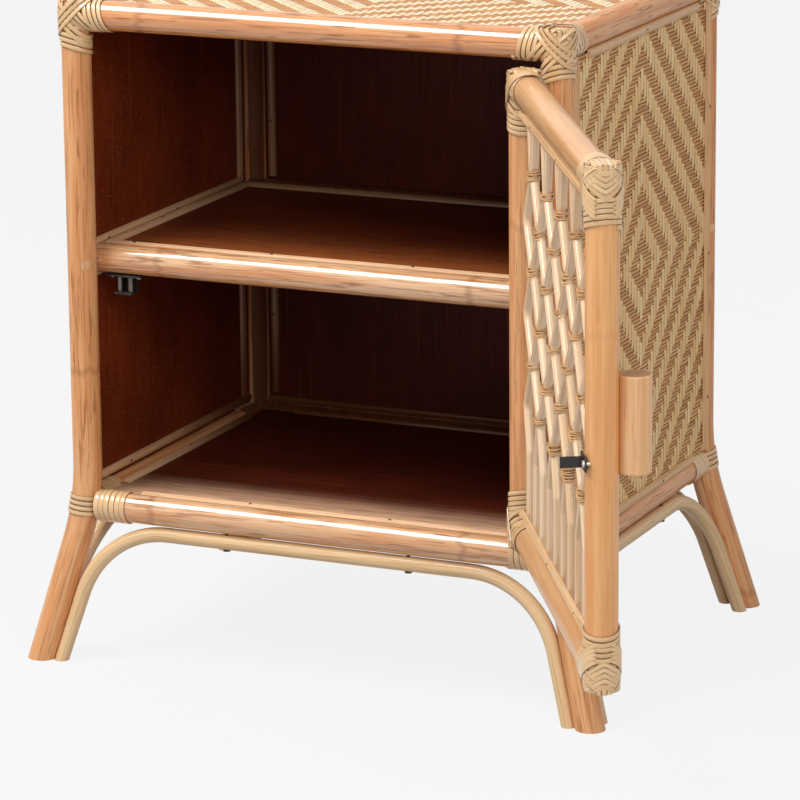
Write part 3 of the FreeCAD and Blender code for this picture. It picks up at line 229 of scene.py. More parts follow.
def pole_lacquer(name, axis, colors, flame_share=0.5, coat=1.0, streaks=1.0, shade_and_end_mask=None, dull=None):
    """Lacquered pole with streaks along it, and another colour where the given mask is 1: painted shade on
    faces inside the cupboard, the sawn ends' own colour on the handle.
    """
    base, streak, pale, flame = colors
    made, root, shader = new_material(name)
    place = along_post(root) if axis == "post" else along_axis(root, axis)
    fine = place.noise(across=560, along=15, detail=3.0)
    fleck = place.noise(across=300, along=26, detail=3.0)
    coarse = place.noise(across=150, along=5)
    patch = place.noise(across=60, along=9, detail=4.0)
    along = place.parts()[2] + coarse * RING_WANDER
    ring = 1 - abs((along / NODE_SPACING) % 1.0 - 0.5).ramp(0.0, RING_WIDTH)
    color = coarse.ramp(0.35, 0.65).mix(base, pale)
    color = (patch.ramp(0.5, 0.7) * flame_share).mix(color, flame)
    color = (fine.ramp(0.5, 0.68) * 0.6 * streaks).mix(color, streak)
    color = (fleck.ramp(0.58, 0.7) * 0.75 * streaks).mix(color, streak)
    color = (ring * 0.45 * streaks).mix(color, streak)
    shader.inputs["Specular IOR Level"].default_value = 0.1
    shader.inputs["Coat Weight"].default_value = coat
    # Where the mask is 1 the colour is painted shade on faces inside the cupboard, or the sawn ends' own
    # colour on the handle, and the coat is taken off.
    if shade_and_end_mask:
        mask = shade_and_end_mask(root)
        color = (mask * SHADE_AND_END_SHARE).mix(color, dull)
        feed(shader, "Coat Weight", (1 - mask) * coat)
    feed(shader, "Base Color", color)
    feed(shader, "Roughness", 0.34 + fine * 0.2)
    feed(shader, "Normal", bump(fine * 0.5 + coarse + ring * 1.5, strength=0.2, distance=0.0005))
    shader.inputs["Coat Roughness"].default_value = 0.06
    shader.inputs["Coat IOR"].default_value = 1.7
    return made


def dress(names, finish):
    """Give one finish to nodes that keep their solid's shape."""
    for name in names:
        data = frame["nodes"][name].data
        data.materials.clear()
        data.materials.append(finish)


ORANGE = (paint(217, 149, 95), paint(144, 84, 44), paint(229, 171, 119), paint(212, 122, 52))
RUSSET = (paint(208, 138, 84), paint(138, 76, 36), paint(222, 160, 106), paint(206, 114, 44))
TAN = (paint(214, 160, 112), paint(146, 84, 44), paint(228, 184, 142), paint(210, 124, 56))
PEACH = (paint(226, 172, 120), paint(198, 138, 92), paint(234, 186, 138), paint(212, 146, 92))
HONEY = (paint(208, 154, 106), paint(180, 122, 76), paint(218, 170, 124), paint(198, 134, 80))
AMBER = (paint(224, 158, 98), paint(194, 126, 72), paint(234, 176, 118), paint(212, 138, 76))
# Painted shade: the rear posts' inner quarters get a dark brown and no coat.
dress(["post_front_left", "post_front_right", "post_rear_left", "post_rear_right"],
      pole_lacquer("lacquered_post", "post", ORANGE, flame_share=0.25, coat=0.25, streaks=0.8,
                   shade_and_end_mask=inner_corner, dull=paint(92, 46, 26)))
dress(["top_rail_front", "top_rail_back"], pole_lacquer("lacquered_top_rail", "x", RUSSET))
dress(["bottom_rail_front", "shelf_rail_front"], pole_lacquer("lacquered_low_rail", "x", TAN))
# Painted shade: the rear rails' inner sides get a dark brown.
dress(["bottom_rail_back", "shelf_rail_back"],
      pole_lacquer("lacquered_rear_rail", "x", TAN, shade_and_end_mask=inner_half, dull=paint(86, 42, 18)))
dress(["top_rail_left", "top_rail_right", "bottom_rail_left", "bottom_rail_right"],
      pole_lacquer("lacquered_side_rail", "y", ORANGE, coat=0.3))
dress(["door_stile_hinge"],
      pole_lacquer("lacquered_hinge_stile", "z", ORANGE, flame_share=0.2, coat=0.35, streaks=0.6))
dress(["door_stile_free"],
      pole_lacquer("lacquered_free_stile", "z", AMBER, flame_share=0.2, coat=0.35, streaks=0.35))
dress(["door_handle"],
      pole_lacquer("lacquered_handle", "z", PEACH, flame_share=0.2, coat=0.35, streaks=0.6,
                   shade_and_end_mask=cut_end, dull=paint(166, 126, 94)))
dress(["door_rail_top", "door_rail_bottom"],
      pole_lacquer("lacquered_door_rail", "door", HONEY, flame_share=0.2, coat=0.4, streaks=0.25))

# Arches: slim peeled canes bent beside the legs and up under the bottom rails, where black
# screws hold them. They are paler and less glossy than the poles, with long fibre lines.
ARCH_RADIUS = 0.007
ARCH_BEND = 0.088
ARCH_GAP = 0.0003
ARCH_TOP = BOTTOM_Z - POLE_RADIUS - ARCH_RADIUS - ARCH_GAP
ARCH_STEPS = 16
ARCH_TRIM = 0.0045
ARCH_TONE = 0.4
ARCH_FACES = 24
GROOVE_WAVES = 3
UPPER_SIDE = 0.01
STRIP_CREASE = 40
SIDES = {"front": (True, -1), "back": (True, 1), "left": (False, -1), "right": (False, 1)}


def new_tree(name, sizes, counts):
    """An empty geometry node tree as a Socket, and its inputs by name."""
    tree = bpy.data.node_groups.new(name, "GeometryNodeTree")
    kinds = {"Geometry": "NodeSocketGeometry", "Finish": "NodeSocketMaterial"}
    kinds.update({size: "NodeSocketFloat" for size in sizes})
    kinds.update({count: "NodeSocketInt" for count in counts})
    for label, kind in kinds.items():
        tree.interface.new_socket(label, in_out="INPUT", socket_type=kind)
    tree.interface.new_socket("Geometry", in_out="OUTPUT", socket_type="NodeSocketGeometry")
    given = tree.nodes.new("NodeGroupInput")
    return Socket(tree), {socket.name: Socket(tree, socket) for socket in given.outputs if socket.name}


def keep(geometry, kind, name, given):
    """Geometry with a value kept on its points under a name."""
    return geometry.node("GeometryNodeStoreNamedAttribute", {"data_type": kind, "domain": "POINT"},
                         {"Geometry": geometry, "Name": name, "Value": given})


def kept(root, kind, name):
    """The value kept under a name."""
    return root.node("GeometryNodeInputNamedAttribute", {"data_type": kind}, {"Name": name})


def lay_strips(root, paths, section, finish):
    """End a tree with a section swept along paths, and keep each point's place across, above and along."""
    paths = keep(paths, "FLOAT", "run", root.node("GeometryNodeSplineParameter", None, None, "Length"))
    section = keep(section, "FLOAT_VECTOR", "section", root.node("GeometryNodeInputPosition"))
    strip = root.node("GeometryNodeCurveToMesh", None,
                      {"Curve": paths, "Profile Curve": section, "Fill Caps": True})
    above, across, _ = kept(root, "FLOAT_VECTOR", "section").parts()
    strip = keep(strip, "FLOAT_VECTOR", "grain", root.vector(across, above, kept(root, "FLOAT", "run")))
    strip = root.node("GeometryNodeRealizeInstances", None, {"Geometry": strip})
    strip = root.node("GeometryNodeSetMaterial", None, {"Geometry": strip, "Material": finish})
    result = root.tree.nodes.new("NodeGroupOutput")
    root.tree.links.new(strip.socket, result.inputs["Geometry"])
    return root.tree


def sweep_tree():
    """Node tree that lays a rounded strip along each path, crowned on its outward side."""
    root, inputs = new_tree("strip_along_path", ("Width", "Crown", "Depth", "Squareness", "Groove"),
                            ("Sides",))
    path = root.node("GeometryNodeMeshToCurve", None, {"Mesh": inputs["Geometry"]})
    outward = kept(root, "FLOAT_VECTOR", "out")
    path = root.node("GeometryNodeSetCurveNormal", {"mode": "FREE"}, {"Curve": path, "Normal": outward})
    ring = root.node("GeometryNodeCurvePrimitiveCircle", None, {"Resolution": inputs["Sides"], "Radius": 1.0})
    x, y, _ = root.node("GeometryNodeInputPosition").parts()
    power = inputs["Squareness"]
    wide = root.math("SIGN", x) * abs(x) ** power * inputs["Width"] / 2
    high = root.math("MAXIMUM", y, 0.0) ** power * inputs["Crown"]
    low = root.math("MINIMUM", y, 0.0) * inputs["Depth"]
    ridge = root.math("COSINE", x * GROOVE_WAVES * math.pi) * root.math("GREATER_THAN", y, UPPER_SIDE)
    section = root.vector(high + low + ridge * inputs["Groove"], 0.0 - wide, 0.0)
    ring = root.node("GeometryNodeSetPosition", None, {"Geometry": ring, "Position": section})
    return lay_strips(root, path, ring, inputs["Finish"])


SWEEP = sweep_tree()


def run_tree(piece, tree, values):
    """Run a node tree on a piece, with values by input name, and keep the result as its plain mesh."""
    modifier = piece.modifiers.new(tree.name, "NODES")
    modifier.node_group = tree
    for item in tree.interface.items_tree:
        if item.in_out == "INPUT" and item.name in values:
            modifier[item.identifier] = values[item.name]
    evaluated = piece.evaluated_get(bpy.context.evaluated_depsgraph_get())
    mesh = bpy.data.meshes.new_from_object(evaluated)
    piece.modifiers.remove(modifier)
    piece.data = mesh
    mesh.name = piece.name


def new_piece(name, data):
    made = bpy.data.objects.new(name, data)
    bpy.context.scene.collection.objects.link(made)
    return made


def smooth(piece, crease):
    piece.data.shade_smooth()
    piece.data.set_sharp_from_angle(angle=math.radians(crease))


def strips(name, paths, finish, width, crown, depth, sides, squareness=1.0, groove=0.0):
    """Strips along paths: each path is its points, their outward directions and a tone from 0 to 1."""
    points, edges, outs, tones = [], [], [], []
    for path, outward, tone in paths:
        first = len(points)
        points += path
        outs += outward if isinstance(outward, list) else [outward] * len(path)
        tones += [tone] * len(path)
        edges += [(first + step, first + step + 1) for step in range(len(path) - 1)]
    mesh = bpy.data.meshes.new(name)
    mesh.from_pydata(points, edges, [])
    flat_outs = [part for out in outs for part in out]
    mesh.attributes.new("out", "FLOAT_VECTOR", "POINT").data.foreach_set("vector", flat_outs)
    mesh.attributes.new("tone", "FLOAT", "POINT").data.foreach_set("value", tones)
    piece = new_piece(name, mesh)
    run_tree(piece, SWEEP, {"Width": width, "Crown": crown, "Depth": depth, "Squareness": squareness,
                            "Groove": groove, "Sides": sides, "Finish": finish})
    smooth(piece, STRIP_CREASE)
    return piece


TACK_COLOR = paint(40, 24, 14)
TACK_LENGTH = (0.001, 0.002)
TACK_BREADTH = (0.0008, 0.0015)
SHIFT_ACROSS = 0.7
SHIFT_ALONG = 5.0
SHADED_RIM_START = 0.66


def cane_finish(name, base, dark, pale, edge=0.0, half_width=0.0, lines=1.0, coat=0.2, sheen=0.2, tacks=0.0,
                stained=None, stain=None):
    """Split or peeled cane, with fibre lines along its run, a tone for each strip, tacks so far apart,
    its rims darkened by edge as painted shade between strands, and a darker colour, painted shade, where the
    given mask is 1."""
    made, root, shader = new_material(name)
    grain = root.node("ShaderNodeAttribute", {"attribute_name": "grain"}, None, "Vector")
    tone = root.node("ShaderNodeAttribute", {"attribute_name": "tone"}, None, "Fac")
    across, above, run = grain.parts()
    place = root.vector(across + tone * SHIFT_ACROSS, above, run + tone * SHIFT_ALONG)
    fine = place.noise(across=1500, along=12)
    coarse = place.noise(across=420, along=5)
    color = (coarse.ramp(0.3, 0.7) * 0.6 + tone * 0.4).mix(base, pale)
    color = (fine.ramp(0.5, 0.75) * 0.7 * lines).mix(color, dark)
    # Painted shade: the strand's rims darkened toward dark, as if shadowed in the gaps between strands.
    if edge:
        rim = abs(across).ramp(half_width * SHADED_RIM_START, half_width)
        color = (rim * edge).mix(color, dark)
    if tacks:
        away = abs((run / tacks + tone) % 1.0 - 0.5) * tacks
        tack = (1 - away.ramp(*TACK_LENGTH)) * (1 - abs(across).ramp(*TACK_BREADTH))
        color = tack.mix(color, TACK_COLOR)
    # Painted shade: a darker colour where the given mask is 1.
    if stained:
        color = stained(root).mix(color, stain)
    feed(shader, "Base Color", color)
    feed(shader, "Roughness", 0.42 + fine * 0.2)
    feed(shader, "Normal", bump(fine + coarse * 0.5, strength=0.3, distance=0.0004))
    shader.inputs["Specular IOR Level"].default_value = sheen
    shader.inputs["Coat Weight"].default_value = coat
    shader.inputs["Coat Roughness"].default_value = 0.14
    shader.inputs["Coat IOR"].default_value = 1.7
    return made


def leg_up(side_x, side_y):
    """Direction up the straight part of a leg."""
    lean = Vector((side_x * LEAN.x, side_y * LEAN.y, 0))
    return Vector((0, 0, math.cos(SPLAY))) - lean * math.sin(SPLAY)


def rounded(points, radius, steps):
    """Straight runs between points, with an arc of the radius at each inner point."""
    path = [points[0]]
    for before, corner, after in zip(points, points[1:], points[2:]):
        inward = (corner - before).normalized()
        outward = (after - corner).normalized()
        turn = inward.angle(outward)
        setback = radius * math.tan(turn / 2)
        toward = (outward - inward).normalized()
        centre = corner + toward * (radius / math.cos(turn / 2))
        from_centre = corner - inward * setback - centre
        for step in range(steps + 1):
            angle = turn * step / steps
            path.append(centre + from_centre * math.cos(angle) + inward * radius * math.sin(angle))
    return path + [points[-1]]


def arch_leg(side_x, side_y, run):
    """Foot of an arch beside a leg, and the point over it at the arch's full height."""
    up = leg_up(side_x, side_y)
    inside = (run - up * run.dot(up)).normalized()
    foot = Vector((side_x * (HALF_X + FOOT_SPREAD.x), side_y * (HALF_Y + FOOT_SPREAD.y), 0))
    foot += inside * (POLE_RADIUS + ARCH_RADIUS + ARCH_GAP)
    return foot - up * ((foot.z + ARCH_TRIM) / up.z), foot + up * ((ARCH_TOP - foot.z) / up.z)


arch_cane = cane_finish("peeled_arch_cane", paint(218, 178, 128), paint(160, 112, 66), paint(236, 204, 162))
for name, (along_x, side) in SIDES.items():
    run = Vector((1, 0, 0)) if along_x else Vector((0, 1, 0))
    ends = [(-1, side), (1, side)] if along_x else [(side, -1), (side, 1)]
    first_foot, first_high = arch_leg(*ends[0], run)
    last_foot, last_high = arch_leg(*ends[1], -run)
    path = rounded([first_foot, first_high, last_high, last_foot], ARCH_BEND, ARCH_STEPS)
    across = Vector((0, side, 0)) if along_x else Vector((side, 0, 0))
    piece = strips("bent_arch_" + name, [(path, across, ARCH_TONE)], arch_cane, ARCH_RADIUS * 2, ARCH_RADIUS,
                   ARCH_RADIUS, ARCH_FACES)
    for vertex in piece.data.vertices:
        vertex.co.z = max(vertex.co.z, 0.0)
    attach(piece, "cabinet")
    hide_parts("arch_" + name)

# Bindings: flat strips of cane wound tight round the joints of the frame, each turn against the
# next, and crossed over the top corners, with their ends tucked under.
STRIP_WIDTH = 0.0042
WIDE_STRIP = 0.0054
WIDE_RIM = 0.0003
STRIP_GAP = 0.0002
STRIP_SLANT = 0.0004
STRIP_THICKNESS = 0.0011
STRIP_DEPTH = 0.0004
STRIP_SQUARENESS = 0.55
STRIP_FACES = 10
STRIP_LIFT = 0.0005
BINDING_ROOM = 0.00305
BINDING_START = 0.0015
ENVELOPE = POLE_RADIUS + BINDING_ROOM
STRIP_SEAT = POLE_RADIUS + STRIP_LIFT
TURN_STEPS = 26
TURN_ROOM = 0.003
BINDING_ENDS = 0.0024
REAR_FADE = (0.09, 0.05)
# edge darkens the rims of each strip as painted shade between the turns.
binding_cane = cane_finish(
    "binding_strip_cane", paint(218, 174, 122), paint(104, 60, 28), paint(234, 198, 150), edge=0.8,
    half_width=STRIP_WIDTH / 2, lines=0.6, coat=0.6)
# Painted shade: the dark brown that cane takes inside the cupboard's rear.
CANE_IN_SHADE = paint(110, 62, 26)


def rear_inside(root):
    """1 on the sides of the rear windings that face into the cupboard, which are painted darker there as
    shade.
    """
    x, y, _ = root.place().parts()
    inward = (HALF_Y - y).ramp(0.0, SOFT_EDGE) * (HALF_X - abs(x)).ramp(0.0, SOFT_EDGE)
    return inward * y.ramp(HALF_Y - REAR_FADE[0], HALF_Y - REAR_FADE[1])


# The rear windings' inner sides get painted shade.
wide_cane = cane_finish(
    "wide_strip_cane", paint(214, 170, 120), paint(104, 60, 28), paint(232, 196, 148), edge=0.8,
    half_width=WIDE_STRIP / 2 + WIDE_RIM, lines=0.6, coat=0.6, stained=rear_inside, stain=CANE_IN_SHADE)
tone_draw = random.Random(7)


def winding(base, direction, length, lean=Vector(), seat=STRIP_SEAT, width=STRIP_WIDTH):
    """Turns of strip round a pole from base along direction, farther along on the side of lean."""
    turns = max(2, round((length - width) / (width + STRIP_GAP)))
    side = direction.orthogonal().normalized()
    other = direction.cross(side)
    pitch = (length - width) / turns
    wound = []
    for turn in range(turns):
        path, outs = [], []
        slant = tone_draw.uniform(-STRIP_SLANT, STRIP_SLANT)
        for step in range(TURN_STEPS + 1):
            angle = 2 * math.pi * step / TURN_STEPS
            out = side * math.cos(angle) + other * math.sin(angle)
            along = width / 2 + pitch * (turn + step / TURN_STEPS) + out.dot(lean) * POLE_RADIUS
            path.append(base + out * seat + direction * (along + slant * math.sin(angle)))
            outs.append(out)
        wound.append((path, outs, tone_draw.random()))
    return wound


def lashing(centre, front, first, second, slide, layer, laced, span):
    """A strip round an elbow, over both its arms and nearer the crotch by slide. A laced strip goes
    through the crotch instead, and slide moves it toward the first arm."""
    seat = STRIP_SEAT + layer * STRIP_THICKNESS
    crotch = (first + second).normalized()
    level = (first - second).normalized()
    along, sideways = (crotch, level) if laced else (level, crotch)
    path, outs = [], []
    for step in range(TURN_STEPS + 1):
        angle = math.radians(span[0] + (span[1] - span[0]) * step / TURN_STEPS)
        ahead = math.cos(angle)
        over = math.sin(angle)
        height = seat * ahead
        reach = math.sqrt(2) * seat * over
        if laced:
            reach += abs(slide)
            beside = second if slide > 0 else first if slide < 0 else crotch
            out = (front * ahead + beside * over).normalized()
        elif slide < 0:
            reach += slide * over
            lateral = (reach + slide) / math.sqrt(2)
            height = math.copysign(math.sqrt(max(seat ** 2 - lateral ** 2, 0.0)), ahead)
            from_crotch = second * seat * max(over, 0.0) ** CROTCH_POWER
            out = (front * height + first * lateral - from_crotch).normalized()
        else:
            reach += math.copysign(slide, over)
            out = (front * ahead - second * over if over > 0 else front * ahead + first * over).normalized()
        tucked = STRIP_THICKNESS * (layer + 1) if step in (0, TURN_STEPS) else 0.0
        path.append(centre + front * height + along * reach + sideways * slide - out * tucked)
        outs.append(out)
    return path, outs, tone_draw.random()


def cap(joint, along, sideways, slide, layer):
    """A strip up one side of a pole, over its end and down the other side, moved across by slide."""
    across = along.cross(sideways)
    seat = CAP_SEAT + layer * STRIP_THICKNESS
    half = math.sqrt(seat ** 2 - slide ** 2)
    corner = (along + sideways).normalized()
    other = (along - sideways).normalized()
    rise = along * half * CAP_RISE
    crown = sideways * half * CAP_CROWN
    path = [joint + sideways * half - along * CAP_DROP, joint + sideways * half + rise,
            joint + corner * half * CAP_CORNER, joint + along * seat + crown, joint + along * seat - crown,
            joint + other * half * CAP_CORNER, joint - sideways * half + rise,
            joint - sideways * half - along * CAP_DROP]
    edge = (sideways * half + across * slide).normalized()
    far = (across * slide - sideways * half).normalized()
    outs = [edge, edge, corner, along, along, other, far, far]
    return [point + across * slide for point in path], outs, tone_draw.random()


def chevron(joint, outward, side, along, level, layer):
    """A strip pointed at level on the outward side of a pole, with its arms falling back round it."""
    seat = STRIP_SEAT + layer * STRIP_THICKNESS
    path, outs = [], []
    for step in range(-CHEVRON_STEPS, CHEVRON_STEPS + 1):
        angle = CHEVRON_SPAN * step / CHEVRON_STEPS
        out = outward * math.cos(angle) + side * math.sin(angle)
        back = CHEVRON_SLOPE * POLE_RADIUS * math.sqrt(angle * angle + CHEVRON_ROUNDING)
        tucked = STRIP_THICKNESS * (layer + 1) if abs(step) == CHEVRON_STEPS else 0.0
        path.append(joint + out * (seat - tucked) + along * max(level - back, STRIP_WIDTH / 2 - POLE_RADIUS))
        outs.append(out)
    return path, outs, tone_draw.random()


def winding_room(turns):
    """Length of pole that a binding of so many turns covers."""
    return turns * TURN_ROOM + BINDING_ENDS


top_paths = []
bottom_paths = []
bottom_rail_paths = []
TOP_BINDING = winding_room(turns=7)
BOTTOM_RAIL_BINDING = winding_room(turns=9)
POST_BINDING = winding_room(turns=7)
TILT = 0.3
TILT_ROOM = TILT * POLE_RADIUS
SLEEVE_SEAT = STRIP_SEAT - STRIP_LIFT
ROOT = STRIP_SEAT
ROOT_ROOM = ENVELOPE + BINDING_START - ROOT
BEND_ROOM = 0.0045
LACED_LAYER = 0.3
OVER_LAYER = 1
CROTCH_POWER = 8
FULL_SPAN = (-180, 180)
LACED_SLIDES = (-0.0096, -0.0048, 0.0, 0.0048, 0.0096)
OVER_SLIDES = (-0.0066, -0.0018, 0.0030)
SIDE_SPAN = (-45, 135)
CAP_SLIDES = (-0.0084, -0.0042, 0.0, 0.0042, 0.0084)
CAP_DROP = -0.006
CAP_LAP = 0.3
CAP_LIFT = 0.0002
CAP_SEAT = POLE_RADIUS + CAP_LIFT
CAP_RISE = 0.7
CAP_CORNER = 1.42
CAP_CROWN = 0.6
CHEVRON_STEPS = 8
CHEVRON_SPAN = math.radians(95)
CHEVRON_SLOPE = 0.75
CHEVRON_ROUNDING = 0.01
CHEVRON_LAYER = 0.2
bottom_bend = math.asin((LEG_BEND_TOP - BOTTOM_Z) / LEG_BEND_RADIUS)
for side_x, side_y in [(-1, -1), (1, -1), (-1, 1), (1, 1)]:
    down = Vector((0, 0, -1))
    across = Vector((-side_x, 0, 0))
    inward = Vector((0, -side_y, 0))
    top = Vector((side_x * HALF_X, side_y * HALF_Y, TOP_Z))
    post_start = top + down * (POLE_RADIUS + BINDING_START)
    top_paths += winding(top - down * POLE_RADIUS, down, 2 * POLE_RADIUS, seat=SLEEVE_SEAT)
    top_paths += winding(post_start, down, TOP_BINDING - TILT_ROOM, (across + inward) * TILT)
    for slide in CAP_SLIDES:
        top_paths.append(cap(top, -down, (across + inward).normalized(), slide, 0.0))
        top_paths.append(cap(top, -down, (across - inward).normalized(), slide, CAP_LAP))
    for front, arm, span in ((-inward, across, FULL_SPAN), (-across, inward, SIDE_SPAN)):
        top_paths += winding(top + arm * ROOT, arm, ROOT_ROOM + TOP_BINDING - TILT_ROOM, down * TILT)
        for slide in LACED_SLIDES:
            top_paths.append(lashing(top, front, arm, down, slide, LACED_LAYER, True, span))
        for slide in OVER_SLIDES:
            top_paths.append(lashing(top, front, arm, down, slide, OVER_LAYER, False, span))
    lean = Vector((side_x * LEAN.x, side_y * LEAN.y, 0))
    joint = Vector((side_x * HALF_X, side_y * HALF_Y, BOTTOM_Z))
    up = Vector((0, 0, math.cos(bottom_bend))) - lean * math.sin(bottom_bend)
    on_post = joint + lean * LEG_BEND_RADIUS * (1 - math.cos(bottom_bend))
    bottom_paths += winding(on_post - up * POST_BINDING / 2, up, POST_BINDING)
    for arm in (across, inward):
        room = BEND_ROOM + ROOT_ROOM + BOTTOM_RAIL_BINDING
        start = joint + arm * (ROOT - BEND_ROOM)
        bottom_rail_paths += winding(start, arm, room, width=WIDE_STRIP)
for name, node, paths, width, finish in [
        ("top_corner_bindings", "top_bindings", top_paths, STRIP_WIDTH, binding_cane),
        ("bottom_corner_bindings", "bottom_bindings", bottom_paths, STRIP_WIDTH, binding_cane),
        ("bottom_rail_bindings", "bottom_bindings", bottom_rail_paths, WIDE_STRIP, wide_cane)]:
    piece = strips(name, paths, finish, width, STRIP_THICKNESS, STRIP_DEPTH, STRIP_FACES, STRIP_SQUARENESS)
    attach(piece, "cabinet")
    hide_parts(node)

# Boards: plywood stained dark red-brown and varnished, fixed behind the poles as walls, top,
# shelf and bottom. The grain stands upright on the walls and runs across on the level boards.
LIGHT_POOL_MARGIN = 0.01
LIGHT_POOL_RAGGED = 0.03


def stained_board(name, axis, base, dark, pale, speckle, front=None, reach=0.0):
    """Stained plywood, its grain along the axis, with painted light, the given paler colour, within reach of
    the front if a colour is given.
    """
    made, root, shader = new_material(name)
    place = along_axis(root, axis)
    fine = place.noise(across=1000, along=26)
    coarse = place.noise(across=220, along=5)
    cloud = place.noise(across=14, along=9, detail=3.0)
    dust = place.noise(across=700, along=700, detail=1.0)
    color = (cloud.ramp(0.3, 0.7) * 0.6).mix(base, dark)
    # Painted light: a paler colour near the front edge, where light falls in.
    if front:
        depth = root.place().parts()[1] + coarse * LIGHT_POOL_RAGGED
        color = (1 - depth.ramp(-HALF_Y + LIGHT_POOL_MARGIN, -HALF_Y + reach)).mix(color, front)
    color = (fine.ramp(0.48, 0.72) * 0.7).mix(color, dark)
    color = (coarse.ramp(0.6, 0.8) * 0.4).mix(color, pale)
    color = (dust.ramp(0.58, 0.72) * speckle).mix(color, pale)
    feed(shader, "Base Color", color)
    feed(shader, "Roughness", 0.42 + fine * 0.25)
    feed(shader, "Normal", bump(fine + coarse, strength=0.2, distance=0.0003))
    shader.inputs["Specular IOR Level"].default_value = 0.2
    return made


# One stain in three copies: the side boards' as it is, the back and bottom boards' painted much darker and
# the shelf and top's a little darker, as shade.
STAIN = (paint(120, 44, 16), paint(70, 22, 8), paint(156, 84, 44))
STAIN_IN_DEEP_SHADE = (paint(92, 30, 12), paint(52, 16, 7), paint(150, 86, 50))
STAIN_IN_SHADE = (paint(106, 42, 16), paint(60, 20, 8), paint(130, 66, 34))
dress(["side_board_left", "side_board_right"], stained_board("stained_side_board", "z", *STAIN, speckle=0.8))
dress(["back_board"], stained_board("stained_back_board", "z", *STAIN_IN_DEEP_SHADE, speckle=0.1))
# The shelf and top boards get painted light along their front edges.
dress(["shelf_board", "top_board"],
      stained_board("stained_shelf_board", "x", *STAIN_IN_SHADE, speckle=0.1, front=paint(178, 100, 50),
                    reach=0.2))
# The bottom board gets painted light, a pale pool, along its front edge.
dress(["bottom_board"],
      stained_board("stained_bottom_board", "x", *STAIN_IN_DEEP_SHADE, speckle=0.1, front=paint(250, 202, 162),
                    reach=0.11))

# Woven skins: upright splints of pale split cane, with narrower brown weavers across them. Each
# splint goes over six weavers and under six, stepped to make diamonds about the panel's middle.
SIDE_DIAMOND = 0.0426
TOP_DIAMOND = 0.0370
TWILL = 12
FLOAT = 6
SPLINT_STEP = 2
FIRST_STEP = 3
WEAVE_DEPTH = 0.0020
SPLINT_CROWN = 0.0009
WEAVER_CROWN = 0.0006
SPLINT_COVER = 0.94
WEAVER_COVER = 0.88
SPLINT_SAMPLES = 2
WEAVER_SAMPLES = 3
HALF_STEP = 0.5
CROSSING = (0.25, 0.75)
ROOF_SIDES = 4
TONE_STRIDE = 37
WEAVE_SEED = 3
WEAVE_CREASE = 50


def weave_tree():
    """Node tree that weaves flat strips along X, rising and sinking at each crossing."""
    root, inputs = new_tree("twill_strips",
                            ("Pitch", "Length", "Cross Pitch", "Own Step", "Cross Step", "Lower Float",
                             "Upper Float", "Rise", "Width", "Crown"), ("Count", "Samples"))
    half = inputs["Length"] / 2
    ends = {"Start": root.vector(0.0 - half, 0.0, 0.0), "End": root.vector(half, 0.0, 0.0)}
    line = root.node("GeometryNodeCurvePrimitiveLine", None, ends)
    line = root.node("GeometryNodeResampleCurve", None, {"Curve": line, "Count": inputs["Samples"]})
    first = (inputs["Count"] - 1) / -2 * inputs["Pitch"]
    rows = root.node("GeometryNodeMeshLine", {"mode": "OFFSET"},
                     {"Count": inputs["Count"], "Start Location": root.vector(0.0, first, 0.0),
                      "Offset": root.vector(0.0, inputs["Pitch"], 0.0)})
    strands = root.node("GeometryNodeInstanceOnPoints", None, {"Points": rows, "Instance": line})
    strands = root.node("GeometryNodeRealizeInstances", None, {"Geometry": strands})
    x, y, _ = root.node("GeometryNodeInputPosition").parts()
    row = y / inputs["Pitch"]
    own = root.math("ROUND", abs(row)) * inputs["Own Step"]
    cell = x / inputs["Cross Pitch"]
    before = root.math("FLOOR", cell)
    share = (cell - before).ramp(*CROSSING)

    def over(index):
        phase = (own + abs(index) * inputs["Cross Step"] + float(FIRST_STEP)) % float(TWILL)
        above = root.math("GREATER_THAN", phase, inputs["Lower Float"])
        return above * root.math("LESS_THAN", phase, inputs["Upper Float"])

    height = over(before) * (1 - share) + over(before + 1) * share
    lift = root.vector(0.0, 0.0, height * inputs["Rise"])
    strands = root.node("GeometryNodeSetPosition", None, {"Geometry": strands, "Offset": lift})
    strands = root.node("GeometryNodeSetCurveNormal", {"mode": "FREE"},
                        {"Curve": strands, "Normal": (0, 0, 1)})
    chance = root.node("FunctionNodeRandomValue", {"data_type": "FLOAT"},
                       {"ID": own * TONE_STRIDE + row, "Seed": WEAVE_SEED}, 1)
    strands = keep(strands, "FLOAT", "tone", chance)
    roof = root.node("GeometryNodeCurvePrimitiveCircle", None, {"Resolution": ROOF_SIDES, "Radius": 1.0})
    corner_x, corner_y, _ = root.node("GeometryNodeInputPosition").parts()
    top = root.math("MAXIMUM", corner_y, 0.0) * inputs["Crown"]
    edge = inputs["Width"] / 2
    section = root.vector(top, 0.0 - corner_x * edge, 0.0)
    roof = root.node("GeometryNodeSetPosition", None, {"Geometry": roof, "Position": section})
    return lay_strips(root, strands, roof, inputs["Finish"])


WEAVE = weave_tree()
# edge darkens the rims of each splint and weaver as painted shade between the strands.
WALL_CANE = (
    cane_finish("wall_splint_cane", paint(240, 192, 130), paint(164, 110, 56), paint(252, 222, 172), edge=0.4,
                half_width=0.0036, coat=0.05, sheen=0.05),
    cane_finish("wall_weaver_cane", paint(216, 148, 86), paint(66, 32, 12), paint(238, 184, 122), edge=0.95,
                half_width=0.0014, coat=0.05, sheen=0.05))
TOP_CANE = (
    cane_finish("top_splint_cane", paint(242, 210, 152), paint(160, 106, 50), paint(250, 232, 190), edge=0.5,
                half_width=0.0029, coat=0.6, sheen=0.5),
    cane_finish("top_weaver_cane", paint(178, 112, 54), paint(80, 40, 16), paint(214, 156, 92), edge=0.95,
                half_width=0.0014, coat=0.4, sheen=0.3))


def odd_count(length, pitch):
    """How many strips of about the pitch fill the length, with one in the middle."""
    return 2 * round((length / pitch - 1) / 2) + 1


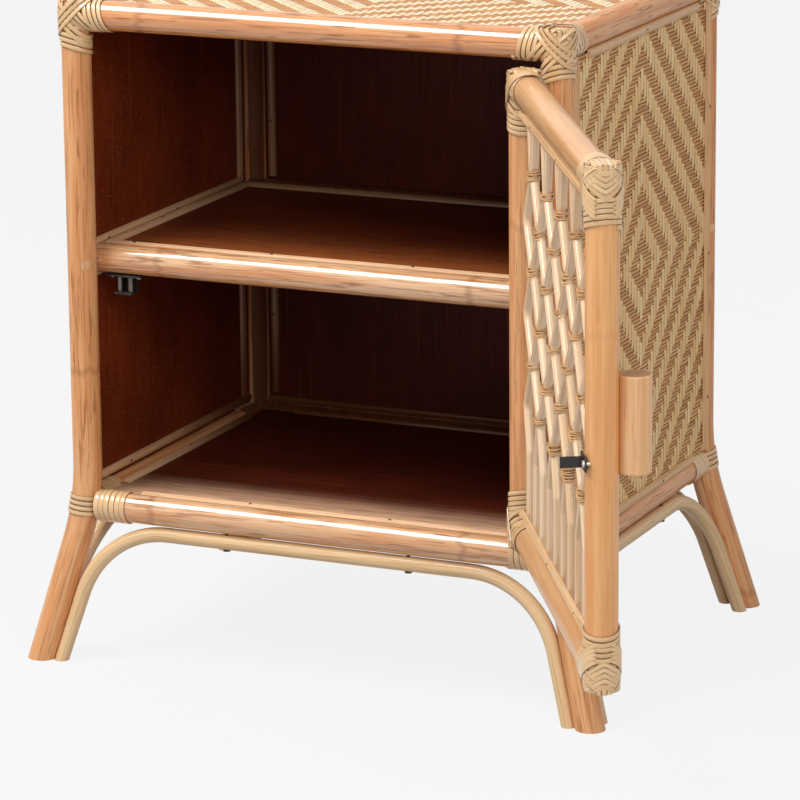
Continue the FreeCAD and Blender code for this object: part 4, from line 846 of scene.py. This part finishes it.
def woven_skin(node, splint_length, weaver_length, diamond, canes, turn):
    """Splints and weavers of one panel, placed on its board by turn."""
    splint_count = odd_count(weaver_length, diamond * SPLINT_STEP / TWILL)
    weaver_count = odd_count(splint_length, diamond / TWILL)
    splint_pitch = weaver_length / splint_count
    weaver_pitch = splint_length / weaver_count
    for part, finish, settings in [
            ("splints", canes[0],
             {"Count": splint_count, "Pitch": splint_pitch, "Length": splint_length,
              "Cross Pitch": weaver_pitch, "Own Step": float(SPLINT_STEP), "Cross Step": 1.0,
              "Lower Float": -HALF_STEP, "Upper Float": FLOAT - HALF_STEP,
              "Samples": weaver_count * SPLINT_SAMPLES + 1, "Rise": WEAVE_DEPTH - SPLINT_CROWN,
              "Width": splint_pitch * SPLINT_COVER, "Crown": SPLINT_CROWN}),
            ("weavers", canes[1],
             {"Count": weaver_count, "Pitch": weaver_pitch, "Length": weaver_length,
              "Cross Pitch": splint_pitch, "Own Step": 1.0, "Cross Step": float(SPLINT_STEP),
              "Lower Float": FLOAT - HALF_STEP, "Upper Float": TWILL + HALF_STEP,
              "Samples": splint_count * WEAVER_SAMPLES + 1, "Rise": SPLINT_CROWN,
              "Width": weaver_pitch * WEAVER_COVER, "Crown": WEAVER_CROWN})]:
        piece = new_piece(node + "_" + part, bpy.data.meshes.new(node + "_" + part))
        run_tree(piece, WEAVE, {**settings, "Finish": finish})
        quarter = Matrix.Rotation(math.pi / 2, 4, "Z") if part == "splints" else Matrix.Identity(4)
        piece.data.transform(turn @ quarter)
        smooth(piece, WEAVE_CREASE)
        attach(piece, "cabinet")
        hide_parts(node)


def panel_turn(low, high, across, up, out):
    """Frame of a panel: X across, Y up, Z out, from the middle of its inner face."""
    middle = (low + high) / 2
    depth = (high - low).dot(Vector([abs(part) for part in out]))
    turn = Matrix((across, up, out)).transposed().to_4x4()
    turn.translation = middle - out * depth / 2
    return turn


upright = Vector((0, 0, 1))
for node, across, up, out in [("side_weave_right", Vector((0, 1, 0)), upright, Vector((1, 0, 0))),
                              ("side_weave_left", Vector((0, -1, 0)), upright, Vector((-1, 0, 0))),
                              ("back_weave", Vector((-1, 0, 0)), upright, Vector((0, 1, 0))),
                              ("top_weave", Vector((1, 0, 0)), Vector((0, 1, 0)), upright)]:
    low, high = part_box(node)
    size = high - low
    splint_length = abs(size.dot(up))
    weaver_length = abs(size.dot(across))
    diamond, canes = (TOP_DIAMOND, TOP_CANE) if node == "top_weave" else (SIDE_DIAMOND, WALL_CANE)
    woven_skin(node, splint_length, weaver_length, diamond, canes, panel_turn(low, high, across, up, out))

# Beads: half-round split cane, grooved along its length, pinned over the edges of the skins and
# into the corners inside the cupboard, behind the front rails and across the back of the door.
BEAD_WIDTH = 0.008
BEAD_HEIGHT = 0.004
BEAD_GROOVE = 0.0003
HALF_BEAD = BEAD_WIDTH / 2
BEAD_FACES = 40
TACK_SPACING = 0.14
REAR_REACH = (-0.7, 0.85)
LOW_REACH = (0.03, 0.11)
HIGHER_SHADE_CUT = 0.34
bead_cane = cane_finish(
    "half_round_bead_cane", paint(208, 162, 114), paint(144, 94, 52), paint(228, 190, 146),
    tacks=TACK_SPACING)


def toward_rear(root):
    """Painted shade: from 0 at the front of the cupboard to 1 low at its rear, and less higher up."""
    _, y, z = root.place().parts()
    rear = y.ramp(HALF_Y * REAR_REACH[0], HALF_Y * REAR_REACH[1])
    return rear * (1 - z.ramp(BOTTOM_Z + LOW_REACH[0], BOTTOM_Z + LOW_REACH[1]) * HIGHER_SHADE_CUT)


# The inner beads get painted shade, darker low at the cupboard's rear.
inner_cane = cane_finish(
    "inner_bead_cane", paint(222, 172, 128), paint(160, 106, 60), paint(236, 198, 156), tacks=TACK_SPACING,
    stained=toward_rear, stain=CANE_IN_SHADE)


def beads(name, lines, node, body="cabinet", finish=bead_cane):
    """Beads along lines: each line is its start, its end and the direction that its crown faces."""
    paths = [([Vector(start), Vector(end)], Vector(out), tone_draw.random()) for start, end, out in lines]
    piece = strips(name, paths, finish, BEAD_WIDTH, BEAD_HEIGHT, 0.0, BEAD_FACES, groove=BEAD_GROOVE)
    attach(piece, body)
    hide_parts(node)


def edge_lines(node, out, along, post_low, post_high, top_end, bottom_end):
    """Four bead lines round a skin, from the box of its solids."""
    low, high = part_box(node)
    outer = high if sum(out) > 0 else low
    face = outer.dot(out) - BEAD_HEIGHT
    side = high.dot(along) - HALF_BEAD
    top = high.z - HALF_BEAD
    bottom = low.z + HALF_BEAD
    lines = []
    for edge in (-side, side):
        foot = out * face + along * edge
        lines.append((foot + upright * post_low, foot + upright * post_high, out))
    for level, end in [(top, top_end), (bottom, bottom_end)]:
        middle = out * face + upright * level
        lines.append((middle - along * end, middle + along * end, out))
    return lines


BEAD_LOW = BOTTOM_Z + POLE_RADIUS + BINDING_START
BEAD_HIGH = TOP_Z - POLE_RADIUS - 2 * BINDING_START - TOP_BINDING
EDGE_HIGH = TOP_Z - POLE_RADIUS - BINDING_START
TOP_CLEAR = ENVELOPE + 2 * BINDING_START + TOP_BINDING
BOTTOM_CLEAR = ENVELOPE + 2 * BINDING_START + BOTTOM_RAIL_BINDING
depthwise = Vector((0, 1, 0))
crosswise = Vector((1, 0, 0))
for node, out, along, half in [("side_beads_right", crosswise, depthwise, HALF_Y),
                               ("side_beads_left", -crosswise, depthwise, HALF_Y),
                               ("back_beads", depthwise, crosswise, HALF_X)]:
    lines = edge_lines(node, out, along, BEAD_LOW, EDGE_HIGH, half - TOP_CLEAR, half - BOTTOM_CLEAR)
    beads(node.replace("beads", "edging"), lines, node)
low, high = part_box("top_beads")
level = high.z - BEAD_HEIGHT
top_lines = []
for side in (-1, 1):
    y = side * (high.y - HALF_BEAD)
    x = side * (high.x - HALF_BEAD)
    top_lines.append(((-(HALF_X - TOP_CLEAR), y, level), (HALF_X - TOP_CLEAR, y, level), upright))
    top_lines.append(((x, -(HALF_Y - TOP_CLEAR), level), (x, HALF_Y - TOP_CLEAR, level), upright))
beads("top_edging", top_lines, "top_beads")

# Inner beads: the same half-round cane, laid along the walls, shelf, bottom and rear corners to
# cover the joints between the boards, and behind the front rails along the boards' edges.
JOINT_GAP = 0.0001
BEAD_GAP = 0.0003
wall_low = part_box("side_board_right")[0]
back_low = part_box("back_board")[0]
shelf_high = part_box("shelf_board")[1]
floor_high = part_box("bottom_board")[1]
front_low, front_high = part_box("shelf_rail_front")
cleat_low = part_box("shelf_cleats")[0]
wall_face = wall_low.x - JOINT_GAP
back_face = back_low.y - JOINT_GAP
shelf_level = shelf_high.z + JOINT_GAP
floor_level = floor_high.z + JOINT_GAP
shelf_rail_y = (front_low.y + front_high.y) / 2
SHELF_RAIL_Z = (front_low.z + front_high.z) / 2


def chord(offset):
    """Half the width of a pole at a distance from its axis."""
    return math.sqrt(max(POLE_RADIUS ** 2 - offset ** 2, 0))


shelf_back_edge = shelf_high.y + JOINT_GAP - BEAD_GAP
shelf_wall_z = shelf_level + HALF_BEAD
floor_wall_z = BOTTOM_Z + ENVELOPE + HALF_BEAD
rear_bead_y = HALF_Y - ENVELOPE - BEAD_GAP - HALF_BEAD
rear_bead_x = HALF_X - ENVELOPE - BEAD_GAP - HALF_BEAD
shelf_bead_x = wall_face - BEAD_HEIGHT - BEAD_GAP - HALF_BEAD
shelf_front_y = shelf_rail_y + chord(shelf_level - SHELF_RAIL_Z) + BEAD_GAP + HALF_BEAD
floor_inset = chord(floor_high.z - BOTTOM_Z) + BEAD_GAP + HALF_BEAD
floor_end_x = HALF_X - BOTTOM_CLEAR
floor_end_y = HALF_Y - BOTTOM_CLEAR
rear_low = floor_wall_z + HALF_BEAD + BEAD_GAP
wall_rear_y = rear_bead_y - BEAD_WIDTH
inner_lines = []
for side in (-1, 1):
    to_middle = (-side, 0, 0)
    wall_x = side * wall_face
    for height, rear in [(shelf_wall_z, shelf_back_edge), (floor_wall_z, rear_bead_y + HALF_BEAD)]:
        inner_lines.append(((wall_x, wall_low.y, height), (wall_x, rear, height), to_middle))
    shelf_x = side * shelf_bead_x
    shelf_start = shelf_rail_y + POLE_RADIUS + BEAD_GAP
    floor_x = side * (HALF_X - floor_inset)
    for x, front, rear, height in [(shelf_x, shelf_start, shelf_back_edge, shelf_level),
                                   (floor_x, -floor_end_y, floor_end_y, floor_level)]:
        inner_lines.append(((x, front, height), (x, rear, height), upright))
    for start, end in [(rear_low, cleat_low.z - BINDING_START),
                       (shelf_wall_z + HALF_BEAD + BEAD_GAP, BEAD_HIGH)]:
        inner_lines.append(((wall_x, wall_rear_y, start), (wall_x, wall_rear_y, end), to_middle))
    rear_x = side * rear_bead_x
    for start, end in [(rear_low, SHELF_RAIL_Z - POLE_RADIUS - BINDING_START),
                       (SHELF_RAIL_Z + POLE_RADIUS + BINDING_START, BEAD_HIGH)]:
        inner_lines.append(((rear_x, back_face, start), (rear_x, back_face, end), (0, -1, 0)))
shelf_end = shelf_bead_x - HALF_BEAD - BEAD_GAP
for y in (shelf_front_y, shelf_back_edge - HALF_BEAD):
    inner_lines.append(((-shelf_end, y, shelf_level), (shelf_end, y, shelf_level), upright))
for y in (-HALF_Y + floor_inset, HALF_Y - floor_inset):
    inner_lines.append(((-floor_end_x, y, floor_level), (floor_end_x, y, floor_level), upright))
back_end = HALF_X - POLE_RADIUS - BEAD_GAP
back_bead_z = BOTTOM_Z + POLE_RADIUS - BEAD_GAP + HALF_BEAD
inner_lines.append(((-back_end, back_face, back_bead_z), (back_end, back_face, back_bead_z), (0, -1, 0)))
beads("inner_edging", inner_lines, "inner_beads", finish=inner_cane)

# Shelf fittings: cleats of split cane under the shelf's ends, and turned wooden plugs glued over
# the screws that hold the shelf rails to the posts.
CLEAT = (paint(204, 166, 118), paint(150, 108, 66), paint(222, 190, 146), paint(176, 126, 78))
PLUG = (paint(222, 170, 122), paint(170, 116, 72), paint(232, 186, 140), paint(196, 130, 80))
dress(["shelf_cleats"], pole_lacquer("split_cane_cleat", "y", CLEAT, flame_share=0.3, coat=0.3))
dress(["shelf_plugs"], pole_lacquer("plug_wood", "z", PLUG, flame_share=0.3, coat=0.3))


# Catch, strike, hinges and screws: pressed steel, black-japanned on the catch, strike and arch
# screws, dark and polished on the rollers, zinc on the wood screws, dull brass on the hinges.
def metal(name, base, worn, metallic, roughness, wear):
    """Metal with fine brushing, and another colour where it is worn."""
    made, root, shader = new_material(name)
    place = root.place()
    brushed = place.noise(across=900, along=900, detail=3.0)
    cloud = place.noise(across=90, along=90, detail=3.0)
    feed(shader, "Base Color", (cloud.ramp(0.45, 0.75) * wear).mix(base, worn))
    feed(shader, "Roughness", roughness + brushed * 0.25)
    feed(shader, "Normal", bump(brushed, strength=0.1, distance=0.0002))
    shader.inputs["Metallic"].default_value = metallic
    return made


dress(["catch_body", "door_strike", "arch_screws"],
      metal("black_japanned_steel", paint(44, 38, 38), paint(84, 74, 70),
            metallic=0.3, roughness=0.3, wear=0.5))
dress(["catch_roller_left", "catch_roller_right", "catch_pins"],
      metal("dark_roller_steel", paint(112, 106, 100), paint(66, 62, 58),
            metallic=1.0, roughness=0.2, wear=0.6))
dress(["shelf_screws", "catch_screws", "strike_screw"],
      metal("zinc_screw_steel", paint(214, 206, 192), paint(170, 160, 142),
            metallic=0.9, roughness=0.3, wear=0.5))
dress(["hinge_leaves_post", "hinge_leaves_door", "hinge_pins", "hinge_screws_post", "hinge_screws_door"],
      metal("dull_brass_hinge", paint(172, 142, 92), paint(120, 94, 58),
            metallic=1.0, roughness=0.35, wear=0.6))

# Door corners: more flat cane strip, wound on the stiles and rails, crossed over each joint and
# laid over the stiles' ends, so that the poles' ends are capped.
hinge = Vector(door_joint["pos_m"])
HANG = Matrix.Rotation(DOOR_ANGLE, 4, "Z")
DOOR_TURN = Matrix.Translation(hinge) @ HANG @ Matrix.Translation(-hinge)


def shut_middle(node):
    """Middle of a door node's box, with the door swung shut."""
    low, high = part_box(node)
    return DOOR_TURN.inverted() @ ((low + high) / 2)


def hung(paths):
    """Paths of the shut door, swung to where the open door holds them."""
    swung = []
    for points, outward, tone in paths:
        outs = outward if isinstance(outward, list) else [outward] * len(points)
        swung.append(([DOOR_TURN @ point for point in points], [HANG.to_3x3() @ out for out in outs], tone))
    return swung


HINGE_STILE_X = shut_middle("door_stile_hinge").x
FREE_STILE_X = shut_middle("door_stile_free").x
DOOR_Y = shut_middle("door_stile_free").y
DOOR_TOP_Z = shut_middle("door_rail_top").z
DOOR_BOTTOM_Z = shut_middle("door_rail_bottom").z
STILE_BINDING = winding_room(turns=8)
DOOR_RAIL_BINDING = winding_room(turns=6)
stile_room = ROOT_ROOM + STILE_BINDING - TILT_ROOM
rail_room = ROOT_ROOM + DOOR_RAIL_BINDING - TILT_ROOM
DOOR_SLIDES = (-0.0072, -0.0024, 0.0, 0.0048, 0.0096)
DOOR_SPAN = (-65, 110)
CHEVRON_LEVELS = (-0.0060, -0.0014, 0.0032, 0.0078, 0.0124)
door_paths = []
for stile_x, inward in [(HINGE_STILE_X, Vector((-1, 0, 0))), (FREE_STILE_X, Vector((1, 0, 0)))]:
    for rail_z, into in [(DOOR_BOTTOM_Z, upright), (DOOR_TOP_Z, -upright)]:
        joint = Vector((stile_x, DOOR_Y, rail_z))
        door_paths += winding(joint - into * POLE_RADIUS, into, 2 * POLE_RADIUS, seat=SLEEVE_SEAT)
        door_paths += winding(joint + into * ROOT, into, stile_room, inward * TILT)
        door_paths += winding(joint + inward * ROOT, inward, rail_room, into * TILT)
        for front in (depthwise, -depthwise):
            elbow = (joint, front, inward, into)
            for slide in DOOR_SLIDES:
                door_paths.append(lashing(*elbow, slide, LACED_LAYER, True, DOOR_SPAN))
                door_paths.append(lashing(*elbow, abs(slide), OVER_LAYER, False, DOOR_SPAN))
        for slide in CAP_SLIDES:
            door_paths.append(cap(joint, -into, depthwise, slide, 0.0))
            door_paths.append(cap(joint, -into, inward, slide, CAP_LAP))
        for level in CHEVRON_LEVELS:
            door_paths.append(chevron(joint, -inward, depthwise, into, level, CHEVRON_LAYER))
piece = strips("door_corner_bindings", hung(door_paths), binding_cane, STRIP_WIDTH, STRIP_THICKNESS,
               STRIP_DEPTH, STRIP_FACES, STRIP_SQUARENESS)
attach(piece, "door")
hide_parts("door_bindings")

# Lattice: peeled canes bent to and fro so that neighbours meet, tied there in pairs with thin
# wound strands, and straight below. Their ends stand in the door's rails behind two beads.
ROD_COUNT = 10
ROD_RADIUS = 0.00375
ROD_BEND = 0.012
ROD_STEPS = 8
ROD_FACES = 14
TIE_DROP = 0.056
TIE_SPACING = 0.041
TIE_LEVELS = 6
TIE_GAP = 0.0003
TIE_TURNS = (3, 4, 5, 6)
TIE_PITCH = 0.0017
TIE_WIDTH = 0.0018
TIE_CROWN = 0.0010
TIE_DEPTH = 0.0006
TIE_LIFT = 0.0010
TIE_FACES = 8
TIE_STRAY = 0.0032
TIE_SLANT = 0.3
TIE_STEPS = 20
lattice_left = FREE_STILE_X + POLE_RADIUS
rod_pitch = (HINGE_STILE_X - POLE_RADIUS - lattice_left) / ROD_COUNT
rod_sway = (rod_pitch - 2 * ROD_RADIUS - TIE_GAP) / 2
tie_heights = [DOOR_TOP_Z - POLE_RADIUS - TIE_DROP - level * TIE_SPACING for level in range(TIE_LEVELS)]
half_turn = math.atan2(2 * rod_sway, TIE_SPACING)
bend_inset = ROD_BEND * (1 / math.cos(half_turn) - 1)
lattice_cane = cane_finish(
    "lattice_rod_cane", paint(222, 180, 136), paint(162, 110, 62), paint(242, 214, 178), coat=0.6)
tie_cane = cane_finish(
    "lattice_tie_cane", paint(206, 154, 100), paint(112, 64, 28), paint(226, 182, 130), edge=0.8,
    half_width=TIE_WIDTH / 2)


def rod_x(index):
    """Where a rod stands between the stiles, with the door shut."""
    return lattice_left + (index + 0.5) * rod_pitch


stray_draw = random.Random(11)
tie_strays = []
for _ in range(TIE_LEVELS):
    tie_strays.append([stray_draw.uniform(-TIE_STRAY, TIE_STRAY) for _ in range(ROD_COUNT + 1)])


def tie_height(level, first):
    """Height where the rod first meets the next one, a little off the row, as ties made by hand are."""
    return tie_heights[level] + tie_strays[level][first + 1]


rod_paths = []
for index in range(ROD_COUNT):
    points = [Vector((rod_x(index), DOOR_Y, DOOR_TOP_Z))]
    for level in range(TIE_LEVELS):
        side = (-1) ** (index + level)
        height = tie_height(level, index if side > 0 else index - 1)
        points.append(Vector((rod_x(index) + side * (rod_sway + bend_inset), DOOR_Y, height)))
    points.append(Vector((rod_x(index), DOOR_Y, tie_heights[-1] - TIE_SPACING)))
    points.append(Vector((rod_x(index), DOOR_Y, DOOR_BOTTOM_Z)))
    rod_paths.append((rounded(points, ROD_BEND, ROD_STEPS), depthwise, tone_draw.random()))
piece = strips("lattice_canes", hung(rod_paths), lattice_cane, ROD_RADIUS * 2, ROD_RADIUS, ROD_RADIUS,
               ROD_FACES)
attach(piece, "door")
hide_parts("door_rods")


def tie(x, height, turns):
    """A strand wound some turns round two rods that meet, each turn on a slant of its own."""
    half = ROD_RADIUS + TIE_GAP / 2
    seat = ROD_RADIUS + TIE_LIFT
    slants = [stray_draw.uniform(-TIE_SLANT, TIE_SLANT) for _ in range(turns + 2)]
    path, outs = [], []
    for step in range(turns * TIE_STEPS + 1):
        turn, part = divmod(step, TIE_STEPS)
        angle = 2 * math.pi * step / TIE_STEPS
        out = Vector((math.cos(angle), math.sin(angle), 0))
        reach = out.x * seat + (half if out.x >= 0 else -half)
        slant = slants[turn] + (slants[turn + 1] - slants[turn]) * part / TIE_STEPS
        level = height + TIE_PITCH * (step / TIE_STEPS - turns / 2) + slant * reach
        path.append(Vector((x + reach, DOOR_Y + out.y * seat, level)))
        outs.append(out)
    return path, outs, tone_draw.random()


tie_paths = []
for level in range(TIE_LEVELS):
    for index in range(level % 2, ROD_COUNT - 1, 2):
        middle = (rod_x(index) + rod_x(index + 1)) / 2
        tie_paths.append(tie(middle, tie_height(level, index), tone_draw.choice(TIE_TURNS)))
piece = strips("lattice_ties", hung(tie_paths), tie_cane, TIE_WIDTH, TIE_CROWN, TIE_DEPTH, TIE_FACES)
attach(piece, "door")
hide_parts("door_ties")

ROD_CLEARANCE = 0.0002
bead_face = DOOR_Y + ROD_RADIUS + ROD_CLEARANCE
bead_inset = ENVELOPE + BEAD_GAP + HALF_BEAD
bead_end = ENVELOPE + BEAD_GAP
door_lines = []
for height in (DOOR_BOTTOM_Z + bead_inset, DOOR_TOP_Z - bead_inset):
    ends = [Vector((x, bead_face, height)) for x in (FREE_STILE_X + bead_end, HINGE_STILE_X - bead_end)]
    door_lines.append((DOOR_TURN @ ends[0], DOOR_TURN @ ends[1], HANG.to_3x3() @ depthwise))
beads("door_edging", door_lines, "door_beads", "door")

# Studio: a plain pale floor, two soft boxes in front and a pale world all round, with the camera
# a few steps away, to the right of the table and a little above it.
CAMERA_AZIMUTH = math.radians(24.22)
CAMERA_ELEVATION = math.radians(14.40)
CAMERA_ROLL = -0.0094
CAMERA_PLACE = Vector((1.630, -3.619, 1.245))
LENS = 196.45
SENSOR_WIDTH = 36
FARTHEST = 100
right = Vector((math.cos(CAMERA_AZIMUTH), math.sin(CAMERA_AZIMUTH), 0))
back = Vector((math.sin(CAMERA_AZIMUTH) * math.cos(CAMERA_ELEVATION),
               -math.cos(CAMERA_AZIMUTH) * math.cos(CAMERA_ELEVATION), math.sin(CAMERA_ELEVATION)))
above = back.cross(right)
rolled_right = right * math.cos(CAMERA_ROLL) + above * math.sin(CAMERA_ROLL)
rolled_above = above * math.cos(CAMERA_ROLL) - right * math.sin(CAMERA_ROLL)
camera = new_piece("camera", bpy.data.cameras.new("camera"))
camera.data.lens = LENS
camera.data.sensor_width = SENSOR_WIDTH
camera.data.clip_end = FARTHEST
turn = Matrix((rolled_right, rolled_above, back)).transposed().to_4x4()
turn.translation = CAMERA_PLACE
camera.matrix_world = turn
bpy.context.scene.camera = camera

BACKDROP = paint(246, 246, 246)
SURROUND = paint(159, 159, 159)
FLOOR_LIT = paint(177, 177, 177)
FLOOR_SEEN = paint(245, 245, 245)
FLOOR_GLOW = 0.94
FLOOR_HALF = 20.0
LIGHT_PATHS = ("Is Camera Ray", "Is Glossy Ray", "Is Transmission Ray")
TABLE_MIDDLE = (0, 0, 0.4)


def soft_box(name, place, width, height, power):
    """A lamp as large as a photographer's soft box, turned to the middle of the table."""
    light = bpy.data.lights.new(name, "AREA")
    light.shape = "RECTANGLE"
    light.size = width
    light.size_y = height
    light.energy = power
    lamp = new_piece(name, light)
    lamp.location = place
    lamp.rotation_euler = (Vector(place) - Vector(TABLE_MIDDLE)).to_track_quat("Z", "Y").to_euler()


soft_box("key_soft_box", (-1.44, -1.44, 3.37), width=2.4, height=1.3, power=128)
soft_box("fill_soft_box", (1.76, -2.24, 1.84), width=1.6, height=1.6, power=35)


def shows_backdrop(root):
    """1 for the rays that should meet the plain backdrop: seen, mirrored or passed through glass."""
    kinds = [root.node("ShaderNodeLightPath", None, None, output) for output in LIGHT_PATHS]
    return root.math("MAXIMUM", root.math("MAXIMUM", kinds[0], kinds[1]), kinds[2])


world = bpy.data.worlds.new("studio")
world.use_nodes = True
bpy.context.scene.world = world
surround = world.node_tree.nodes["Background"]
feed(surround, "Color", shows_backdrop(Socket(world.node_tree)).mix(SURROUND, BACKDROP))
surround.inputs["Strength"].default_value = 1.0

floor_mesh = bpy.data.meshes.new("studio_floor")
corners = [(-FLOOR_HALF, -FLOOR_HALF, 0), (FLOOR_HALF, -FLOOR_HALF, 0), (FLOOR_HALF, FLOOR_HALF, 0),
           (-FLOOR_HALF, FLOOR_HALF, 0)]
floor_mesh.from_pydata(corners, [], [(0, 1, 2, 3)])
floor = new_piece("studio_floor", floor_mesh)
floor_paint, root, shader = new_material("pale_floor")
seen = shows_backdrop(root)
feed(shader, "Base Color", seen.mix(FLOOR_LIT, FLOOR_SEEN))
shader.inputs["Roughness"].default_value = 0.9
glow = root.node("ShaderNodeEmission", None, {"Color": BACKDROP, "Strength": 1.0})
matte = Socket(floor_paint.node_tree, shader.outputs[0])
surface = root.node("ShaderNodeMixShader", None, {0: seen * FLOOR_GLOW, 1: matte, 2: glow})
output = floor_paint.node_tree.nodes["Material Output"]
floor_paint.node_tree.links.new(surface.socket, output.inputs["Surface"])
floor_mesh.materials.append(floor_paint)
bpy.context.scene.view_settings.view_transform = "Standard"
